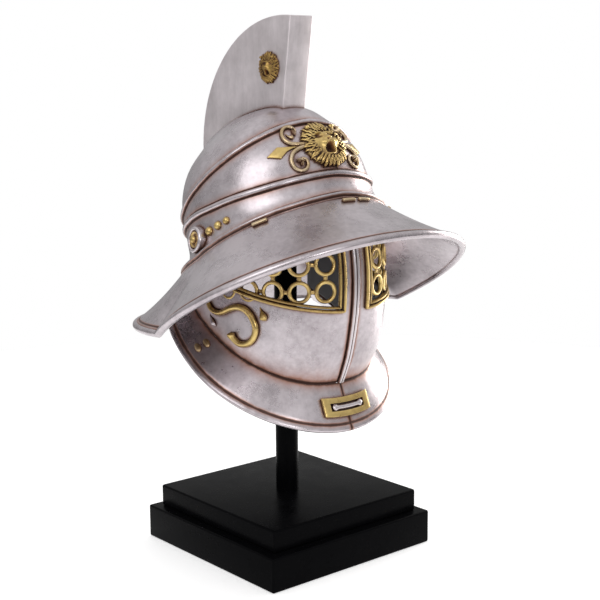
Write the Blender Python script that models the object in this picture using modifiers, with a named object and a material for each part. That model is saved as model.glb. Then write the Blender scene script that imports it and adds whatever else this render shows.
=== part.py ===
"""Thracian gladiator helmet on its display stand, a desk-size cast replica.

Metres, +Z up. The origin is the centre of the plinth's underside, the helmet faces -Y and the
wearer's left is +X. The helmet leans back on its post: its crown and the front of its brim are
modelled in a tilted frame of (across, forward, up) and placed by the function tilted().
"""
import math

import bmesh
import bpy
import numpy as np
from mathutils import Matrix, Vector
from mathutils.bvhtree import BVHTree

GAP = 0.0003
GRIP = 0.0003
RIGHT = -1
LEFT = 1

PLINTH_SIDE = 0.096
PLINTH_HEIGHT = 0.0157
TIER_SIDE = 0.0867
TIER_HEIGHT = 0.0103
EDGE_ROUND = 0.0008
POST_RADIUS = 0.00535

HELMET_TILT = math.radians(29.3)
CROWN_BASE_HEIGHT = 0.1476
CROWN_HEIGHT = 0.062
CROWN_LENGTH = 0.0439
CROWN_WIDTH = 0.0452
CROWN_SQUARENESS = 2.1
CROWN_WALL = 0.0024
CROWN_SECTIONS = (
    # up, share of CROWN_HEIGHT; wide, of CROWN_WIDTH; long and forward, of CROWN_LENGTH
    {"up": 0.000, "wide": 1.000, "long": 1.000, "forward": 0.000},
    {"up": 0.185, "wide": 0.980, "long": 0.989, "forward": 0.036},
    {"up": 0.347, "wide": 0.958, "long": 0.977, "forward": 0.055},
    {"up": 0.508, "wide": 0.894, "long": 0.929, "forward": 0.057},
    {"up": 0.669, "wide": 0.754, "long": 0.836, "forward": 0.059},
    {"up": 0.798, "wide": 0.551, "long": 0.711, "forward": 0.048},
    {"up": 0.895, "wide": 0.374, "long": 0.522, "forward": -0.064},
    {"up": 0.960, "wide": 0.223, "long": 0.314, "forward": -0.223},
    {"up": 0.990, "wide": 0.104, "long": 0.123, "forward": -0.380},
    {"up": 1.000, "wide": 0.000, "long": 0.000, "forward": -0.400},
)

BEAD_WIDTH = 0.0026
BEAD_HEIGHT = 0.0012
BEADS = (
    # height on the crown at its sides and rise to the front, in metres; thick, share of BEAD_WIDTH
    {"name": "bead_lower", "height": 0.0014, "rise": 0.0003, "thick": 0.80},
    {"name": "bead_middle", "height": 0.0103, "rise": 0.0008, "thick": 1.05},
    {"name": "bead_upper", "height": 0.0262, "rise": 0.0096, "thick": 0.95},
)

BRIM_WALL = 0.0024
BRIM_SEAT = 0.0060
BRIM_SEAT_FALL = 0.22
BRIM_HALF_WIDTH = 0.0780
BRIM_FRONT = 0.0700
BRIM_FORWARD = 0.0033
BRIM_DROP = 0.0340
BRIM_CORNER = math.radians(107.6)
BRIM_SAG = 0.0015
BRIM_ROLL_RADIUS = 0.0018
BRIM_LIP = 0.0014
GUARD_LENGTH = 0.0660
GUARD_FALL = 0.0030

CREST_THICKNESS = 0.01334
CREST_RADIUS = 0.0602
CREST_BACK = -0.0060
CREST_CENTRE_HEIGHT = 0.0396
CREST_LEAN = math.radians(8.3)
CREST_TOP_FRONT = -0.0132
CREST_TAIL = math.radians(-27.0)

VISOR_WALL = 0.0022
VISOR_HALF_WIDTH = 0.0403
VISOR_FRONT = 0.0485
VISOR_REAR = 0.0455
VISOR_SQUARENESS = 2.38
VISOR_CHIN = 0.0844
VISOR_BROW = 0.1660
VISOR_END = math.radians(119.0)
VISOR_PROFILE = (
    # up, share of chin to brow; front, share of VISOR_FRONT; side, share of VISOR_HALF_WIDTH
    {"up": 0.000, "front": 0.781, "side": 0.810},
    {"up": 0.069, "front": 0.835, "side": 0.885},
    {"up": 0.154, "front": 0.891, "side": 0.962},
    {"up": 0.246, "front": 0.932, "side": 0.998},
    {"up": 0.338, "front": 0.963, "side": 1.000},
    {"up": 0.425, "front": 0.986, "side": 1.000},
    {"up": 0.600, "front": 1.000, "side": 1.000},
    {"up": 0.755, "front": 0.975, "side": 1.000},
    {"up": 0.865, "front": 0.938, "side": 1.000},
    {"up": 1.000, "front": 0.880, "side": 1.000},
)
RIDGE_WIDTH = 0.0044
RIDGE_DEPTH = 0.0022
RIDGE_PROUD = 0.0014

THROAT_HEIGHT = 0.1045
THROAT_SLOPE = 0.527
FLANGE_WALL = 0.0022
FLANGE_HALF_WIDTH = 0.0537
FLANGE_FRONT = 0.0463
FLANGE_REAR = 0.0622
FLANGE_HEIGHT = 0.09026
FLANGE_SLOPE = 0.567
FLANGE_SIDE_LIFT = 0.00126

RING_PITCH = 0.01155
RING_RADIUS = 0.00475
RING_WIRE = 0.00125
RING_FIRST = 0.0163
RING_ROW = 0.1283
RING_COUNTS = (5, 5, 4)
GRILLE_THICKNESS = 0.0026
GRILLE_PROUD = 0.0006
GRILLE_FRAME = 0.0020
WINDOW_INNER = 0.0072
WINDOW_OUTER = 0.0660
WINDOW_SILL = 0.1187
WINDOW_SILL_RISE = 0.0107
WINDOW_HEAD_GAP = 0.0045

LION_RADIUS = 0.0117
LION_TALL = 0.88
LION_RELIEF = 0.0072
LION_HEIGHT = 0.02355
CREST_LION_RADIUS = 0.0070
CREST_LION_RELIEF = 0.0028
CREST_LION_BACK = 0.0010
CREST_LION_HEIGHT = 0.2258

SCROLL_RADIUS = 0.0040
SCROLL_WIRE = 0.0007
SCROLL_EYE = 1.45
SCROLL_PLACE = 0.0148
SCROLL_UPPER_HEIGHT = 0.0303
SCROLL_LOWER_HEIGHT = 0.0178
LEAF_LENGTH = 0.0165
LEAF_WIDTH = 0.0052
LEAF_THICKNESS = 0.0010
LEAF_TIP = 0.0300
LEAF_HEIGHT = 0.0232
ROSETTE_RADIUS = 0.0064
ROSETTE_DEPTH = 0.0030
ROSETTE_PLACE = math.radians(97.0)
ROSETTE_HEIGHT = 0.0058
STUD_RADIUS = 0.0017
STUD_HEIGHT = 0.0056
STUDS = (
    # angle in degrees from the crown's front; size, share of STUD_RADIUS
    {"angle": 84.0, "size": 1.00},
    {"angle": 76.0, "size": 0.93},
    {"angle": 69.0, "size": 0.82},
)
BAR_LENGTH = 0.0072
BAR_WIDTH = 0.0018
BAR_THICKNESS = 0.0010
BAR_PLACE = 0.095
BARS = (
    # angle in degrees from the brim's front to the wearer's left
    {"name": "bar_front_middle", "angle": -1.5},
    {"name": "bar_front_left", "angle": 10.0},
    {"name": "bar_side_right", "angle": -48.0},
    {"name": "bar_side_left", "angle": 48.0},
)

S_SCROLL_WIRE = 0.0013
S_SCROLL_BULB = 1.35
S_SCROLL = (
    # round, from the front line, and up, over THROAT_HEIGHT; both shares of VISOR_HALF_WIDTH
    {"round": 1.504, "up": 0.146},
    {"round": 1.519, "up": 0.084},
    {"round": 1.452, "up": 0.022},
    {"round": 1.350, "up": -0.015},
    {"round": 1.263, "up": -0.005},
    {"round": 1.194, "up": 0.062},
    {"round": 1.161, "up": 0.174},
    {"round": 1.184, "up": 0.270},
    {"round": 1.263, "up": 0.352},
    {"round": 1.372, "up": 0.397},
    {"round": 1.467, "up": 0.385},
    {"round": 1.573, "up": 0.347},
    {"round": 1.695, "up": 0.308},
    {"round": 1.794, "up": 0.315},
    {"round": 1.861, "up": 0.360},
    {"round": 1.890, "up": 0.420},
    {"round": 1.850, "up": 0.475},
    {"round": 1.790, "up": 0.480},
)
DROP_RADIUS = 0.0013
DROPS = (
    # round and up as for the S-scroll, at the top and the foot; fat, share of DROP_RADIUS
    {"name": "gold_drop", "top": (1.122, 0.424), "foot": (1.037, 0.290), "fat": 1.0},
    {"name": "silver_drop", "top": (1.906, 0.261), "foot": (1.777, 0.112), "fat": 0.7},
)
FLANGE_STUD_RADIUS = 0.0008
FLANGE_STUD_LENGTH = 0.0048
FLANGE_STUDS = (
    # angle in degrees from the front; out, share of the way from the throat to the rim
    {"angle": 93.5, "out": 0.62},
    {"angle": 90.5, "out": 0.38},
)

BUCKLE_WIDTH = 0.0262
BUCKLE_HEIGHT = 0.0088
BUCKLE_THICKNESS = 0.0012
BUCKLE_SLOT_WIDTH = 0.0190
BUCKLE_SLOT_HEIGHT = 0.0036
BUCKLE_FLARE = 1.35
BUCKLE_PLACE = 0.50

CROWN_SEGMENTS = 36
BRIM_SEGMENTS = 40
BEAD_SEGMENTS = 36

SILVER = (0.62, 0.59, 0.60)
BRIGHT_SILVER = (0.74, 0.71, 0.71)
GOLD = (0.62, 0.45, 0.19)
OLD_GOLD = (0.38, 0.27, 0.12)
BLACK = (0.012, 0.012, 0.013)


def clear_scene():
    for item in list(bpy.context.scene.objects):
        bpy.data.objects.remove(item, do_unlink=True)


def new_collection(name):
    group = bpy.data.collections.new(name)
    bpy.context.scene.collection.children.link(group)
    return group


def material(name, colour, roughness, metallic):
    paint = bpy.data.materials.new(name)
    paint.use_nodes = True
    paint.diffuse_color = (*colour, 1.0)
    shader = paint.node_tree.nodes["Principled BSDF"]
    shader.inputs["Base Color"].default_value = (*colour, 1.0)
    shader.inputs["Roughness"].default_value = roughness
    shader.inputs["Metallic"].default_value = metallic
    return paint


def place(name, mesh, colour, roughness=0.4, metallic=0.8):
    piece = bpy.data.objects.new(name, mesh)
    PARTS.objects.link(piece)
    mesh.materials.clear()
    mesh.materials.append(material(name, colour, roughness, metallic))
    return piece


def face_outward(body):
    bmesh.ops.recalc_face_normals(body, faces=body.faces)
    if body.calc_volume(signed=True) < 0:
        bmesh.ops.reverse_faces(body, faces=body.faces)


def mesh_from(name, build, closed=True):
    """A mesh from a function that fills a bmesh; a closed body gets its faces turned outward."""
    body = bmesh.new()
    build(body)
    if closed:
        face_outward(body)
    mesh = bpy.data.meshes.new(name)
    body.to_mesh(mesh)
    body.free()
    return mesh


def smooth(mesh, angle=40.0):
    mesh.shade_smooth()
    mesh.set_sharp_from_angle(angle=math.radians(angle))


def evaluated_mesh(piece):
    graph = bpy.context.evaluated_depsgraph_get()
    return bpy.data.meshes.new_from_object(piece.evaluated_get(graph), depsgraph=graph)


def surface_tree(piece):
    mesh = evaluated_mesh(piece)
    points = [piece.matrix_world @ vertex.co for vertex in mesh.vertices]
    faces = [tuple(face.vertices) for face in mesh.polygons]
    bpy.data.meshes.remove(mesh)
    return BVHTree.FromPolygons(points, faces)


def cut_away(piece, name, mesh):
    """Cuts a closed mesh out of a piece and keeps it as a hidden cutter."""
    cutter = bpy.data.objects.new(name, mesh)
    CUTTERS.objects.link(cutter)
    cutter.hide_render = True
    cutter.display_type = "WIRE"
    cut = piece.modifiers.new(name, "BOOLEAN")
    cut.operation = "DIFFERENCE"
    cut.solver = "EXACT"
    cut.object = cutter


def add_wall(piece, thickness):
    """Thickens a sheet inward from its outer face."""
    wall = piece.modifiers.new("wall", "SOLIDIFY")
    wall.thickness = thickness
    wall.offset = -1.0
    wall.use_even_offset = True


def read_table(rows, key, column, at):
    """A smooth curve through one column of a table of sections."""
    xs = [row[key] for row in rows]
    ys = [row[column] for row in rows]
    at = min(max(at, xs[0]), xs[-1])
    i = max(k for k in range(len(xs) - 1) if xs[k] <= at)
    width = xs[i + 1] - xs[i]
    before = (ys[i] - ys[i - 1]) / (xs[i] - xs[i - 1]) if i else (ys[1] - ys[0]) / (xs[1] - xs[0])
    here = (ys[i + 1] - ys[i]) / width
    after = here if i + 2 == len(xs) else (ys[i + 2] - ys[i + 1]) / (xs[i + 2] - xs[i + 1])
    start = 0.5 * (before + here) * width
    end = 0.5 * (here + after) * width
    t = (at - xs[i]) / width
    return ((2 * t**3 - 3 * t**2 + 1) * ys[i] + (t**3 - 2 * t**2 + t) * start
            + (3 * t**2 - 2 * t**3) * ys[i + 1] + (t**3 - t**2) * end)


def power(value, exponent):
    return math.copysign(abs(value) ** exponent, value)


def tilted(across, forward, up):
    """A point of the helmet's own tilted frame in the world."""
    cos, sin = math.cos(HELMET_TILT), math.sin(HELMET_TILT)
    return Vector((across, -forward * cos + up * sin, CROWN_BASE_HEIGHT + forward * sin + up * cos))


def crown_point(angle, up, proud=0.0):
    """On the crown's outside. The angle runs from the front, 0, to the wearer's left, 90 degrees."""
    share = up / CROWN_HEIGHT
    wide = read_table(CROWN_SECTIONS, "up", "wide", share) * CROWN_WIDTH
    long = read_table(CROWN_SECTIONS, "up", "long", share) * CROWN_LENGTH
    centre = read_table(CROWN_SECTIONS, "up", "forward", share) * CROWN_LENGTH
    e = 2.0 / CROWN_SQUARENESS
    return tilted((wide + proud) * power(math.sin(angle), e),
                  centre + (long + proud) * power(math.cos(angle), e), up)


def crown_frame(angle, up):
    """A point of the crown with its outward normal and its tangent up the surface."""
    here = crown_point(angle, up)
    along = (crown_point(angle + 0.01, up) - crown_point(angle - 0.01, up)).normalized()
    rise = (crown_point(angle, up + 0.0005) - crown_point(angle, up - 0.0005)).normalized()
    normal = along.cross(rise).normalized()
    if normal.dot(here - tilted(0.0, 0.0, up)) < 0:
        normal = -normal
    return here, normal, rise


def brim_root(angle, shrink=0.0):
    e = 2.0 / CROWN_SQUARENESS
    across = (CROWN_WIDTH - shrink) * power(math.sin(angle), e)
    forward = (CROWN_LENGTH - shrink) * power(math.cos(angle), e)
    return tilted(across, forward, -GAP - BRIM_SEAT_FALL * shrink)


def brim_rim(angle):
    """The brim's rim: a tilted arc in front, and a level arc round the neck guard behind."""
    side = 1.0 if angle >= 0 else -1.0
    turn = abs(angle)
    corner = tilted(BRIM_HALF_WIDTH * math.sin(BRIM_CORNER),
                    BRIM_FORWARD + BRIM_FRONT * math.cos(BRIM_CORNER), -BRIM_DROP)
    if turn <= math.pi / 2:
        sweep = turn * BRIM_CORNER / (math.pi / 2)
        return tilted(side * BRIM_HALF_WIDTH * math.sin(sweep),
                      BRIM_FORWARD + BRIM_FRONT * math.cos(sweep), -BRIM_DROP)
    back = -math.cos(turn)
    return Vector((side * corner.x * math.sin(turn), corner.y + (GUARD_LENGTH - corner.y) * back,
                   corner.z - GUARD_FALL * back))


def brim_point(angle, share):
    root = brim_root(angle)
    rim = brim_rim(angle) + Vector((0.0, 0.0, BRIM_LIP))
    sag = Vector((0.0, 0.0, -BRIM_SAG * 4.0 * share * (1.0 - share)))
    return root.lerp(rim, share) + sag


def visor_size(z):
    share = (z - VISOR_CHIN) / (VISOR_BROW - VISOR_CHIN)
    front = read_table(VISOR_PROFILE, "up", "front", share) * VISOR_FRONT
    side = read_table(VISOR_PROFILE, "up", "side", share) * VISOR_HALF_WIDTH
    return front, side


def visor_point(angle, z, proud=0.0):
    """On the face guard's outside; the angle runs from the front, and its sign is the side's."""
    front, side = visor_size(z)
    e = 2.0 / VISOR_SQUARENESS
    reach = front if math.cos(angle) >= 0 else VISOR_REAR
    return Vector(((side + proud) * power(math.sin(angle), e),
                   -(reach + proud) * power(math.cos(angle), e), z))


def visor_angles():
    """Arc length round the face guard at the eyes, from the front, against the angle."""
    angles = np.linspace(0.0, VISOR_END, 400)
    points = np.array([visor_point(a, RING_ROW) for a in angles])
    steps = np.linalg.norm(np.diff(points, axis=0), axis=1)
    return angles, np.concatenate(([0.0], np.cumsum(steps)))


def visor_at(length, z, side, proud=0.0):
    """A point of the face guard at an arc length from the front line."""
    angle = float(np.interp(length, ARC_LENGTHS, ARC_ANGLES))
    return visor_point(side * angle, z, proud)


def throat_height(y):
    return THROAT_HEIGHT + THROAT_SLOPE * y


def throat_point(angle):
    """Where the face guard meets the flange: the guard's surface cut by the throat plane."""
    z = THROAT_HEIGHT
    for _ in range(30):
        z = 0.5 * (z + throat_height(visor_point(angle, z).y))
    return visor_point(angle, z)


def flange_rim(angle):
    """The flange's outer rim in the same direction as the throat point of this angle."""
    inner = throat_point(angle)
    turn = math.atan2(inner.x, -inner.y)
    reach = FLANGE_FRONT if inner.y < 0 else FLANGE_REAR
    radius = 1.0 / math.hypot(math.sin(turn) / FLANGE_HALF_WIDTH, math.cos(turn) / reach)
    x = radius * math.sin(turn)
    y = -radius * math.cos(turn)
    lift = FLANGE_SIDE_LIFT * (x / FLANGE_HALF_WIDTH) ** 2
    return Vector((x, y, FLANGE_HEIGHT + FLANGE_SLOPE * y + lift))


def flange_point(angle, share):
    inner = throat_point(angle) - Vector((0.0, 0.0, GAP))
    return inner.lerp(flange_rim(angle), share)


def flange_frame(angle, share):
    """A point of the flange with its upward normal and its tangent up the slope."""
    here = flange_point(angle, share)
    along = (flange_point(angle + 0.02, share) - flange_point(angle - 0.02, share)).normalized()
    rise = (flange_point(angle, share - 0.05) - flange_point(angle, share + 0.05)).normalized()
    normal = along.cross(rise).normalized()
    if normal.z < 0:
        normal = -normal
    return here, normal, rise


def visor_frame(length, z, side):
    """A point of the face guard with its outward normal."""
    here = visor_at(length, z, side)
    along = (visor_at(length + 0.0004, z, side) - visor_at(length - 0.0004, z, side)).normalized()
    rise = (visor_at(length, z + 0.0004, side) - visor_at(length, z - 0.0004, side)).normalized()
    normal = along.cross(rise).normalized()
    if normal.dot(Vector((here.x, here.y, 0.0))) < 0:
        normal = -normal
    return here, normal


def loft(rows, outward, closed=False, pole=None):
    """A sheet of quads through rows of points, its normals along outward at its first face."""
    def build(body):
        grid = [[body.verts.new(point) for point in row] for row in rows]
        faces = []
        count = len(rows[0])
        for low, high in zip(grid, grid[1:]):
            for i in range(count if closed else count - 1):
                j = (i + 1) % count
                faces.append(body.faces.new((low[i], low[j], high[j], high[i])))
        if pole is not None:
            tip = body.verts.new(pole)
            for i in range(count):
                faces.append(body.faces.new((grid[-1][i], grid[-1][(i + 1) % count], tip)))
        body.normal_update()
        if faces[0].normal.dot(outward) < 0:
            bmesh.ops.reverse_faces(body, faces=faces)
    return build


def around(count):
    return [2.0 * math.pi * i / count - math.pi for i in range(count)]


def crown_rows(proud=0.0, levels=9):
    """Rings of the crown, closer together towards the top."""
    rows = []
    for k in range(levels):
        up = CROWN_HEIGHT * math.sin(0.5 * math.pi * k / levels * 0.985) ** 0.95
        rows.append([crown_point(a, up, proud) for a in around(CROWN_SEGMENTS)])
    return rows


def build_plinth():
    for name, side, low, height in (
            ("plinth_lower", PLINTH_SIDE, 0.0, PLINTH_HEIGHT - GAP),
            ("plinth_upper", TIER_SIDE, PLINTH_HEIGHT, TIER_HEIGHT)):
        def box(body, side=side, low=low, height=height):
            bmesh.ops.create_cube(body, size=1.0)
            bmesh.ops.scale(body, vec=(side, side, height), verts=body.verts)
            bmesh.ops.translate(body, vec=(0.0, 0.0, low + 0.5 * height), verts=body.verts)
        piece = place(name, mesh_from(name, box), BLACK, 0.35, 0.0)
        rounding = piece.modifiers.new("rounding", "BEVEL")
        rounding.width = EDGE_ROUND
        rounding.segments = 2


def build_crown():
    top = tilted(0.0, CROWN_SECTIONS[-1]["forward"] * CROWN_LENGTH, CROWN_HEIGHT)
    rows = crown_rows()
    mesh = mesh_from("crown", loft(rows, rows[0][0] - tilted(0, 0, 0), True, top), closed=False)
    smooth(mesh)
    piece = place("crown", mesh, SILVER)
    add_wall(piece, CROWN_WALL)
    return piece


def wire(name, points, radius, closed=False, sides=1, radii=None):
    """A closed tube mesh along points, with its end caps welded on."""
    curve = bpy.data.curves.new(name, "CURVE")
    curve.dimensions = "3D"
    curve.bevel_depth = radius
    curve.bevel_resolution = sides
    curve.use_fill_caps = True
    line = curve.splines.new("POLY")
    line.points.add(len(points) - 1)
    for i, (knot, point) in enumerate(zip(line.points, points)):
        knot.co = (*point, 1.0)
        knot.radius = radii[i] if radii else 1.0
    line.use_cyclic_u = closed
    guide = bpy.data.objects.new(name + "_path", curve)
    PARTS.objects.link(guide)
    mesh = evaluated_mesh(guide)
    bpy.data.objects.remove(guide, do_unlink=True)
    bpy.data.curves.remove(curve)
    body = bmesh.new()
    body.from_mesh(mesh)
    bmesh.ops.remove_doubles(body, verts=body.verts, dist=1e-6)
    face_outward(body)
    body.to_mesh(mesh)
    body.free()
    smooth(mesh)
    return mesh


def bead_height(bead, angle):
    return bead["height"] + bead["rise"] * math.cos(angle)


def build_beads():
    """Low half-round mouldings laid round the crown."""
    section = ((-0.50, 0.0), (-0.36, 0.70), (0.0, 1.0), (0.36, 0.70), (0.50, 0.0))
    for bead in BEADS:
        width = BEAD_WIDTH * bead["thick"]
        rows = [[] for _ in section]
        for angle in around(BEAD_SEGMENTS):
            here, normal, rise = crown_frame(angle, bead_height(bead, angle))
            for row, (across, off) in zip(rows, section):
                row.append(here + rise * (across * width) + normal * (GAP + off * BEAD_HEIGHT))

        def ring(body, rows=rows):
            loft(rows + [rows[0]], Vector((0, -1, 0)), True)(body)
            bmesh.ops.remove_doubles(body, verts=body.verts, dist=1e-6)
        mesh = mesh_from(bead["name"], ring)
        smooth(mesh, 60)
        place(bead["name"], mesh, BRIGHT_SILVER, 0.3)


def build_brim():
    angles = around(BRIM_SEGMENTS)
    reach = 2.0 * BRIM_ROLL_RADIUS + 2.0 * GAP
    rows = [[brim_root(a, BRIM_SEAT) for a in angles]]
    for share in (0.0, 0.12, 0.34, 0.67, 1.0):
        row = []
        for a in angles:
            span = (brim_point(a, 1.0) - brim_root(a)).length
            row.append(brim_point(a, share * (1.0 - reach / span)))
        rows.append(row)
    mesh = mesh_from("brim", loft(rows, Vector((0, 0, 1)), True), closed=False)
    smooth(mesh)
    piece = place("brim", mesh, SILVER)
    add_wall(piece, BRIM_WALL)
    return piece


def build_brim_roll():
    path = []
    for a in around(BRIM_SEGMENTS):
        rim = brim_rim(a)
        inward = (brim_point(a, 0.95) - brim_point(a, 1.0)).normalized()
        path.append(rim + inward * BRIM_ROLL_RADIUS + Vector((0, 0, BRIM_LIP - 0.5 * BRIM_WALL)))
    place("brim_roll", wire("brim_roll", path, BRIM_ROLL_RADIUS, closed=True), BRIGHT_SILVER, 0.3)


def crest_outline():
    """The crest's side view: a straight leaning front and an arc that runs down the back."""
    centre = Vector((CREST_BACK, CROWN_BASE_HEIGHT + CREST_CENTRE_HEIGHT))
    top_turn = math.acos((CREST_TOP_FRONT - centre.x) / CREST_RADIUS)
    arc = []
    for i in range(25):
        turn = CREST_TAIL + (top_turn - CREST_TAIL) * i / 24
        arc.append(centre + CREST_RADIUS * Vector((math.cos(turn), math.sin(turn))))
    top = arc[-1]
    fall = top.y - crown_ridge_height(0.0) + CROWN_WALL * 0.6
    foot = top + Vector((math.tan(CREST_LEAN) * fall, -fall))
    inside = [foot]
    for k in range(1, 8):
        y = foot.x + (arc[0].x - CROWN_WALL - foot.x) * k / 7
        z = crown_top_height(y) - 0.6 * CROWN_WALL
        inside.append(Vector((y, z)))
    return arc + inside


def crown_ridge_height(across):
    hit = CROWN_TREE.ray_cast(Vector((across, 0.0, 1.0)), Vector((0, 0, -1)))
    return hit[0].z


def crown_top_height(y):
    hit = CROWN_TREE.ray_cast(Vector((0.0, y, 1.0)), Vector((0, 0, -1)))
    if hit[0] is None:
        hit = CROWN_TREE.ray_cast(Vector((0.0, 1.0, arc_low_height())), Vector((0, -1, 0)))
    return hit[0].z


def arc_low_height():
    return CROWN_BASE_HEIGHT + CREST_CENTRE_HEIGHT + CREST_RADIUS * math.sin(CREST_TAIL)


def build_crest():
    outline = crest_outline()

    def slab(body):
        near = [body.verts.new((-0.5 * CREST_THICKNESS, p.x, p.y)) for p in outline]
        far = [body.verts.new((0.5 * CREST_THICKNESS, p.x, p.y)) for p in outline]
        body.faces.new(near)
        body.faces.new(far)
        for i in range(len(outline)):
            j = (i + 1) % len(outline)
            body.faces.new((near[i], near[j], far[j], far[i]))
    piece = place("crest", mesh_from("crest", slab), SILVER)
    top = tilted(0.0, CROWN_SECTIONS[-1]["forward"] * CROWN_LENGTH, CROWN_HEIGHT + GAP)
    rows = crown_rows(GAP)

    def dome(body):
        loft(rows, rows[0][0] - tilted(0, 0, 0), True, top)(body)
        bmesh.ops.contextual_create(body, geom=[e for e in body.edges if e.is_boundary])
    cut_away(piece, "crown_clearance", mesh_from("crown_clearance", dome))


def under_brim(point):
    """The height of the brim's underside over a point, or the crown's top inside the brim's ring."""
    hit = BRIM_TREE.ray_cast(Vector((point.x, point.y, 0.0)), Vector((0, 0, 1)))[0]
    return hit.z if hit else CROWN_BASE_HEIGHT + CROWN_HEIGHT


def visor_top(angle):
    """The face guard's upper edge: the brim's underside over its wall, less the gap."""
    z = VISOR_BROW
    for _ in range(4):
        level = min(z, VISOR_BROW)
        wall = [visor_point(angle, level, -VISOR_WALL * k / 4) for k in range(5)]
        z = min(under_brim(point) for point in wall) - 2.5 * GAP
    return min(z, VISOR_BROW)


def window_outline(inset):
    """The eye window in flat (arc length, height), set in from its edge."""
    sill = []
    head = []
    inner = WINDOW_INNER + inset
    outer = WINDOW_OUTER - inset
    for k in range(9):
        length = inner + (outer - inner) * k / 8
        share = (length - WINDOW_INNER) / (WINDOW_OUTER - WINDOW_INNER)
        sill.append((length, WINDOW_SILL + WINDOW_SILL_RISE * share ** 1.4 + inset * 1.05))
        angle = float(np.interp(length, ARC_LENGTHS, ARC_ANGLES))
        head.append((length, visor_top(angle) - WINDOW_HEAD_GAP - inset * 1.4))
    return sill + head[::-1]


def build_visor(side, word):
    """One half of the face guard, from the ridge round to behind the ear."""
    start = 0.5 * RIDGE_WIDTH + GAP
    first = float(np.interp(start, ARC_LENGTHS, ARC_ANGLES))
    columns = 16
    rows = []
    levels = 8
    for k in range(levels + 1):
        row = []
        for i in range(columns + 1):
            angle = first + (VISOR_END - first) * i / columns
            low = throat_point(angle).z
            high = visor_top(angle)
            point = visor_point(side * angle, low + (high - low) * k / levels)
            row.append(Vector((side * max(start, abs(point.x)), point.y, point.z)))
        rows.append(row)
    name = "visor_" + word
    mesh = mesh_from(name, loft(rows, Vector((0, -1, 0))), closed=False)
    smooth(mesh)
    piece = place(name, mesh, SILVER)
    add_wall(piece, VISOR_WALL)
    outline = window_outline(0.0)

    def opening(body):
        deep = [body.verts.new(visor_at(u, z, side, -2.5 * VISOR_WALL)) for u, z in outline]
        shallow = [body.verts.new(visor_at(u, z, side, 2.0 * VISOR_WALL)) for u, z in outline]
        half = len(outline) // 2
        for i in range(len(outline)):
            j = (i + 1) % len(outline)
            body.faces.new((deep[i], deep[j], shallow[j], shallow[i]))
        for layer in (deep, shallow):
            for i in range(half - 1):
                j = len(outline) - 1 - i
                body.faces.new((layer[i], layer[i + 1], layer[j - 1], layer[j]))
    cut_away(piece, "eye_window_" + word, mesh_from("eye_window_" + word, opening))


def clip(polygon, boundary):
    """The part of a polygon inside a convex boundary, both turning the same way."""
    result = list(polygon)
    for a, b in zip(boundary, boundary[1:] + boundary[:1]):
        def depth(p, a=a, b=b):
            return (b[0] - a[0]) * (p[1] - a[1]) - (b[1] - a[1]) * (p[0] - a[0])
        source, result = result, []
        for p, q in zip(source, source[1:] + source[:1]):
            dp, dq = depth(p), depth(q)
            if dp >= 0:
                result.append(p)
            if dp * dq < 0:
                t = dp / (dp - dq)
                result.append((p[0] + (q[0] - p[0]) * t, p[1] + (q[1] - p[1]) * t))
        if not result:
            return []
    return result


def area(polygon):
    return 0.5 * sum(p[0] * q[1] - q[0] * p[1] for p, q in zip(polygon, polygon[1:] + polygon[:1]))


def grille_holes():
    """Flat outlines of the rings' eyes and of the gaps left between four rings."""
    inner = window_outline(GRIP + GRILLE_FRAME)
    hole = RING_RADIUS - RING_WIRE
    shapes = []
    for row, count in enumerate(RING_COUNTS):
        for i in range(count):
            centre = (RING_FIRST + i * RING_PITCH, RING_ROW + row * RING_PITCH)
            circle = [(centre[0] + hole * math.cos(t), centre[1] + hole * math.sin(t))
                      for t in (2 * math.pi * k / 10 for k in range(10))]
            shapes.append(circle)
    half = 0.5 * RING_PITCH
    for row in range(-1, len(RING_COUNTS)):
        for i in range(-1, max(RING_COUNTS)):
            centre = (RING_FIRST + i * RING_PITCH + half, RING_ROW + row * RING_PITCH + half)
            star = []
            for quarter in range(4):
                turn = 0.5 * math.pi * quarter
                tip = half - 0.35 * RING_WIRE
                waist = 0.70 * (half * math.sqrt(2.0) - RING_RADIUS)
                star.append((centre[0] + (tip - 0.6 * RING_WIRE) * math.cos(turn),
                             centre[1] + (tip - 0.6 * RING_WIRE) * math.sin(turn)))
                star.append((centre[0] + waist * math.cos(turn + 0.25 * math.pi),
                             centre[1] + waist * math.sin(turn + 0.25 * math.pi)))
            shapes.append(star)
    kept = []
    for shape in shapes:
        cut = clip(shape, inner)
        if len(cut) > 2 and area(cut) > 2.5e-6:
            kept.append(cut)
    return kept


def build_grille(side, word):
    """The pierced eye grille: a flat pierced plate wrapped on to the face guard's surface."""
    curve = bpy.data.curves.new("grille_outline", "CURVE")
    curve.dimensions = "2D"
    curve.fill_mode = "BOTH"
    curve.extrude = 0.5 * GRILLE_THICKNESS
    for outline in [window_outline(GRIP)] + grille_holes():
        line = curve.splines.new("POLY")
        line.points.add(len(outline) - 1)
        line.use_cyclic_u = True
        for knot, point in zip(line.points, outline):
            knot.co = (point[0], point[1], 0.0, 1.0)
    flat = bpy.data.objects.new("grille_flat", curve)
    PARTS.objects.link(flat)
    mesh = evaluated_mesh(flat)
    bpy.data.objects.remove(flat, do_unlink=True)
    bpy.data.curves.remove(curve)
    body = bmesh.new()
    body.from_mesh(mesh)
    bmesh.ops.remove_doubles(body, verts=body.verts, dist=1e-6)
    for vertex in body.verts:
        length, z, depth = vertex.co
        proud = GRILLE_PROUD if depth > 0 else GRILLE_PROUD - GRILLE_THICKNESS
        vertex.co = visor_at(length, z, side, proud)
    face_outward(body)
    body.to_mesh(mesh)
    body.free()
    place("eye_grille_" + word, mesh, GOLD, 0.35, 0.9)


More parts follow.
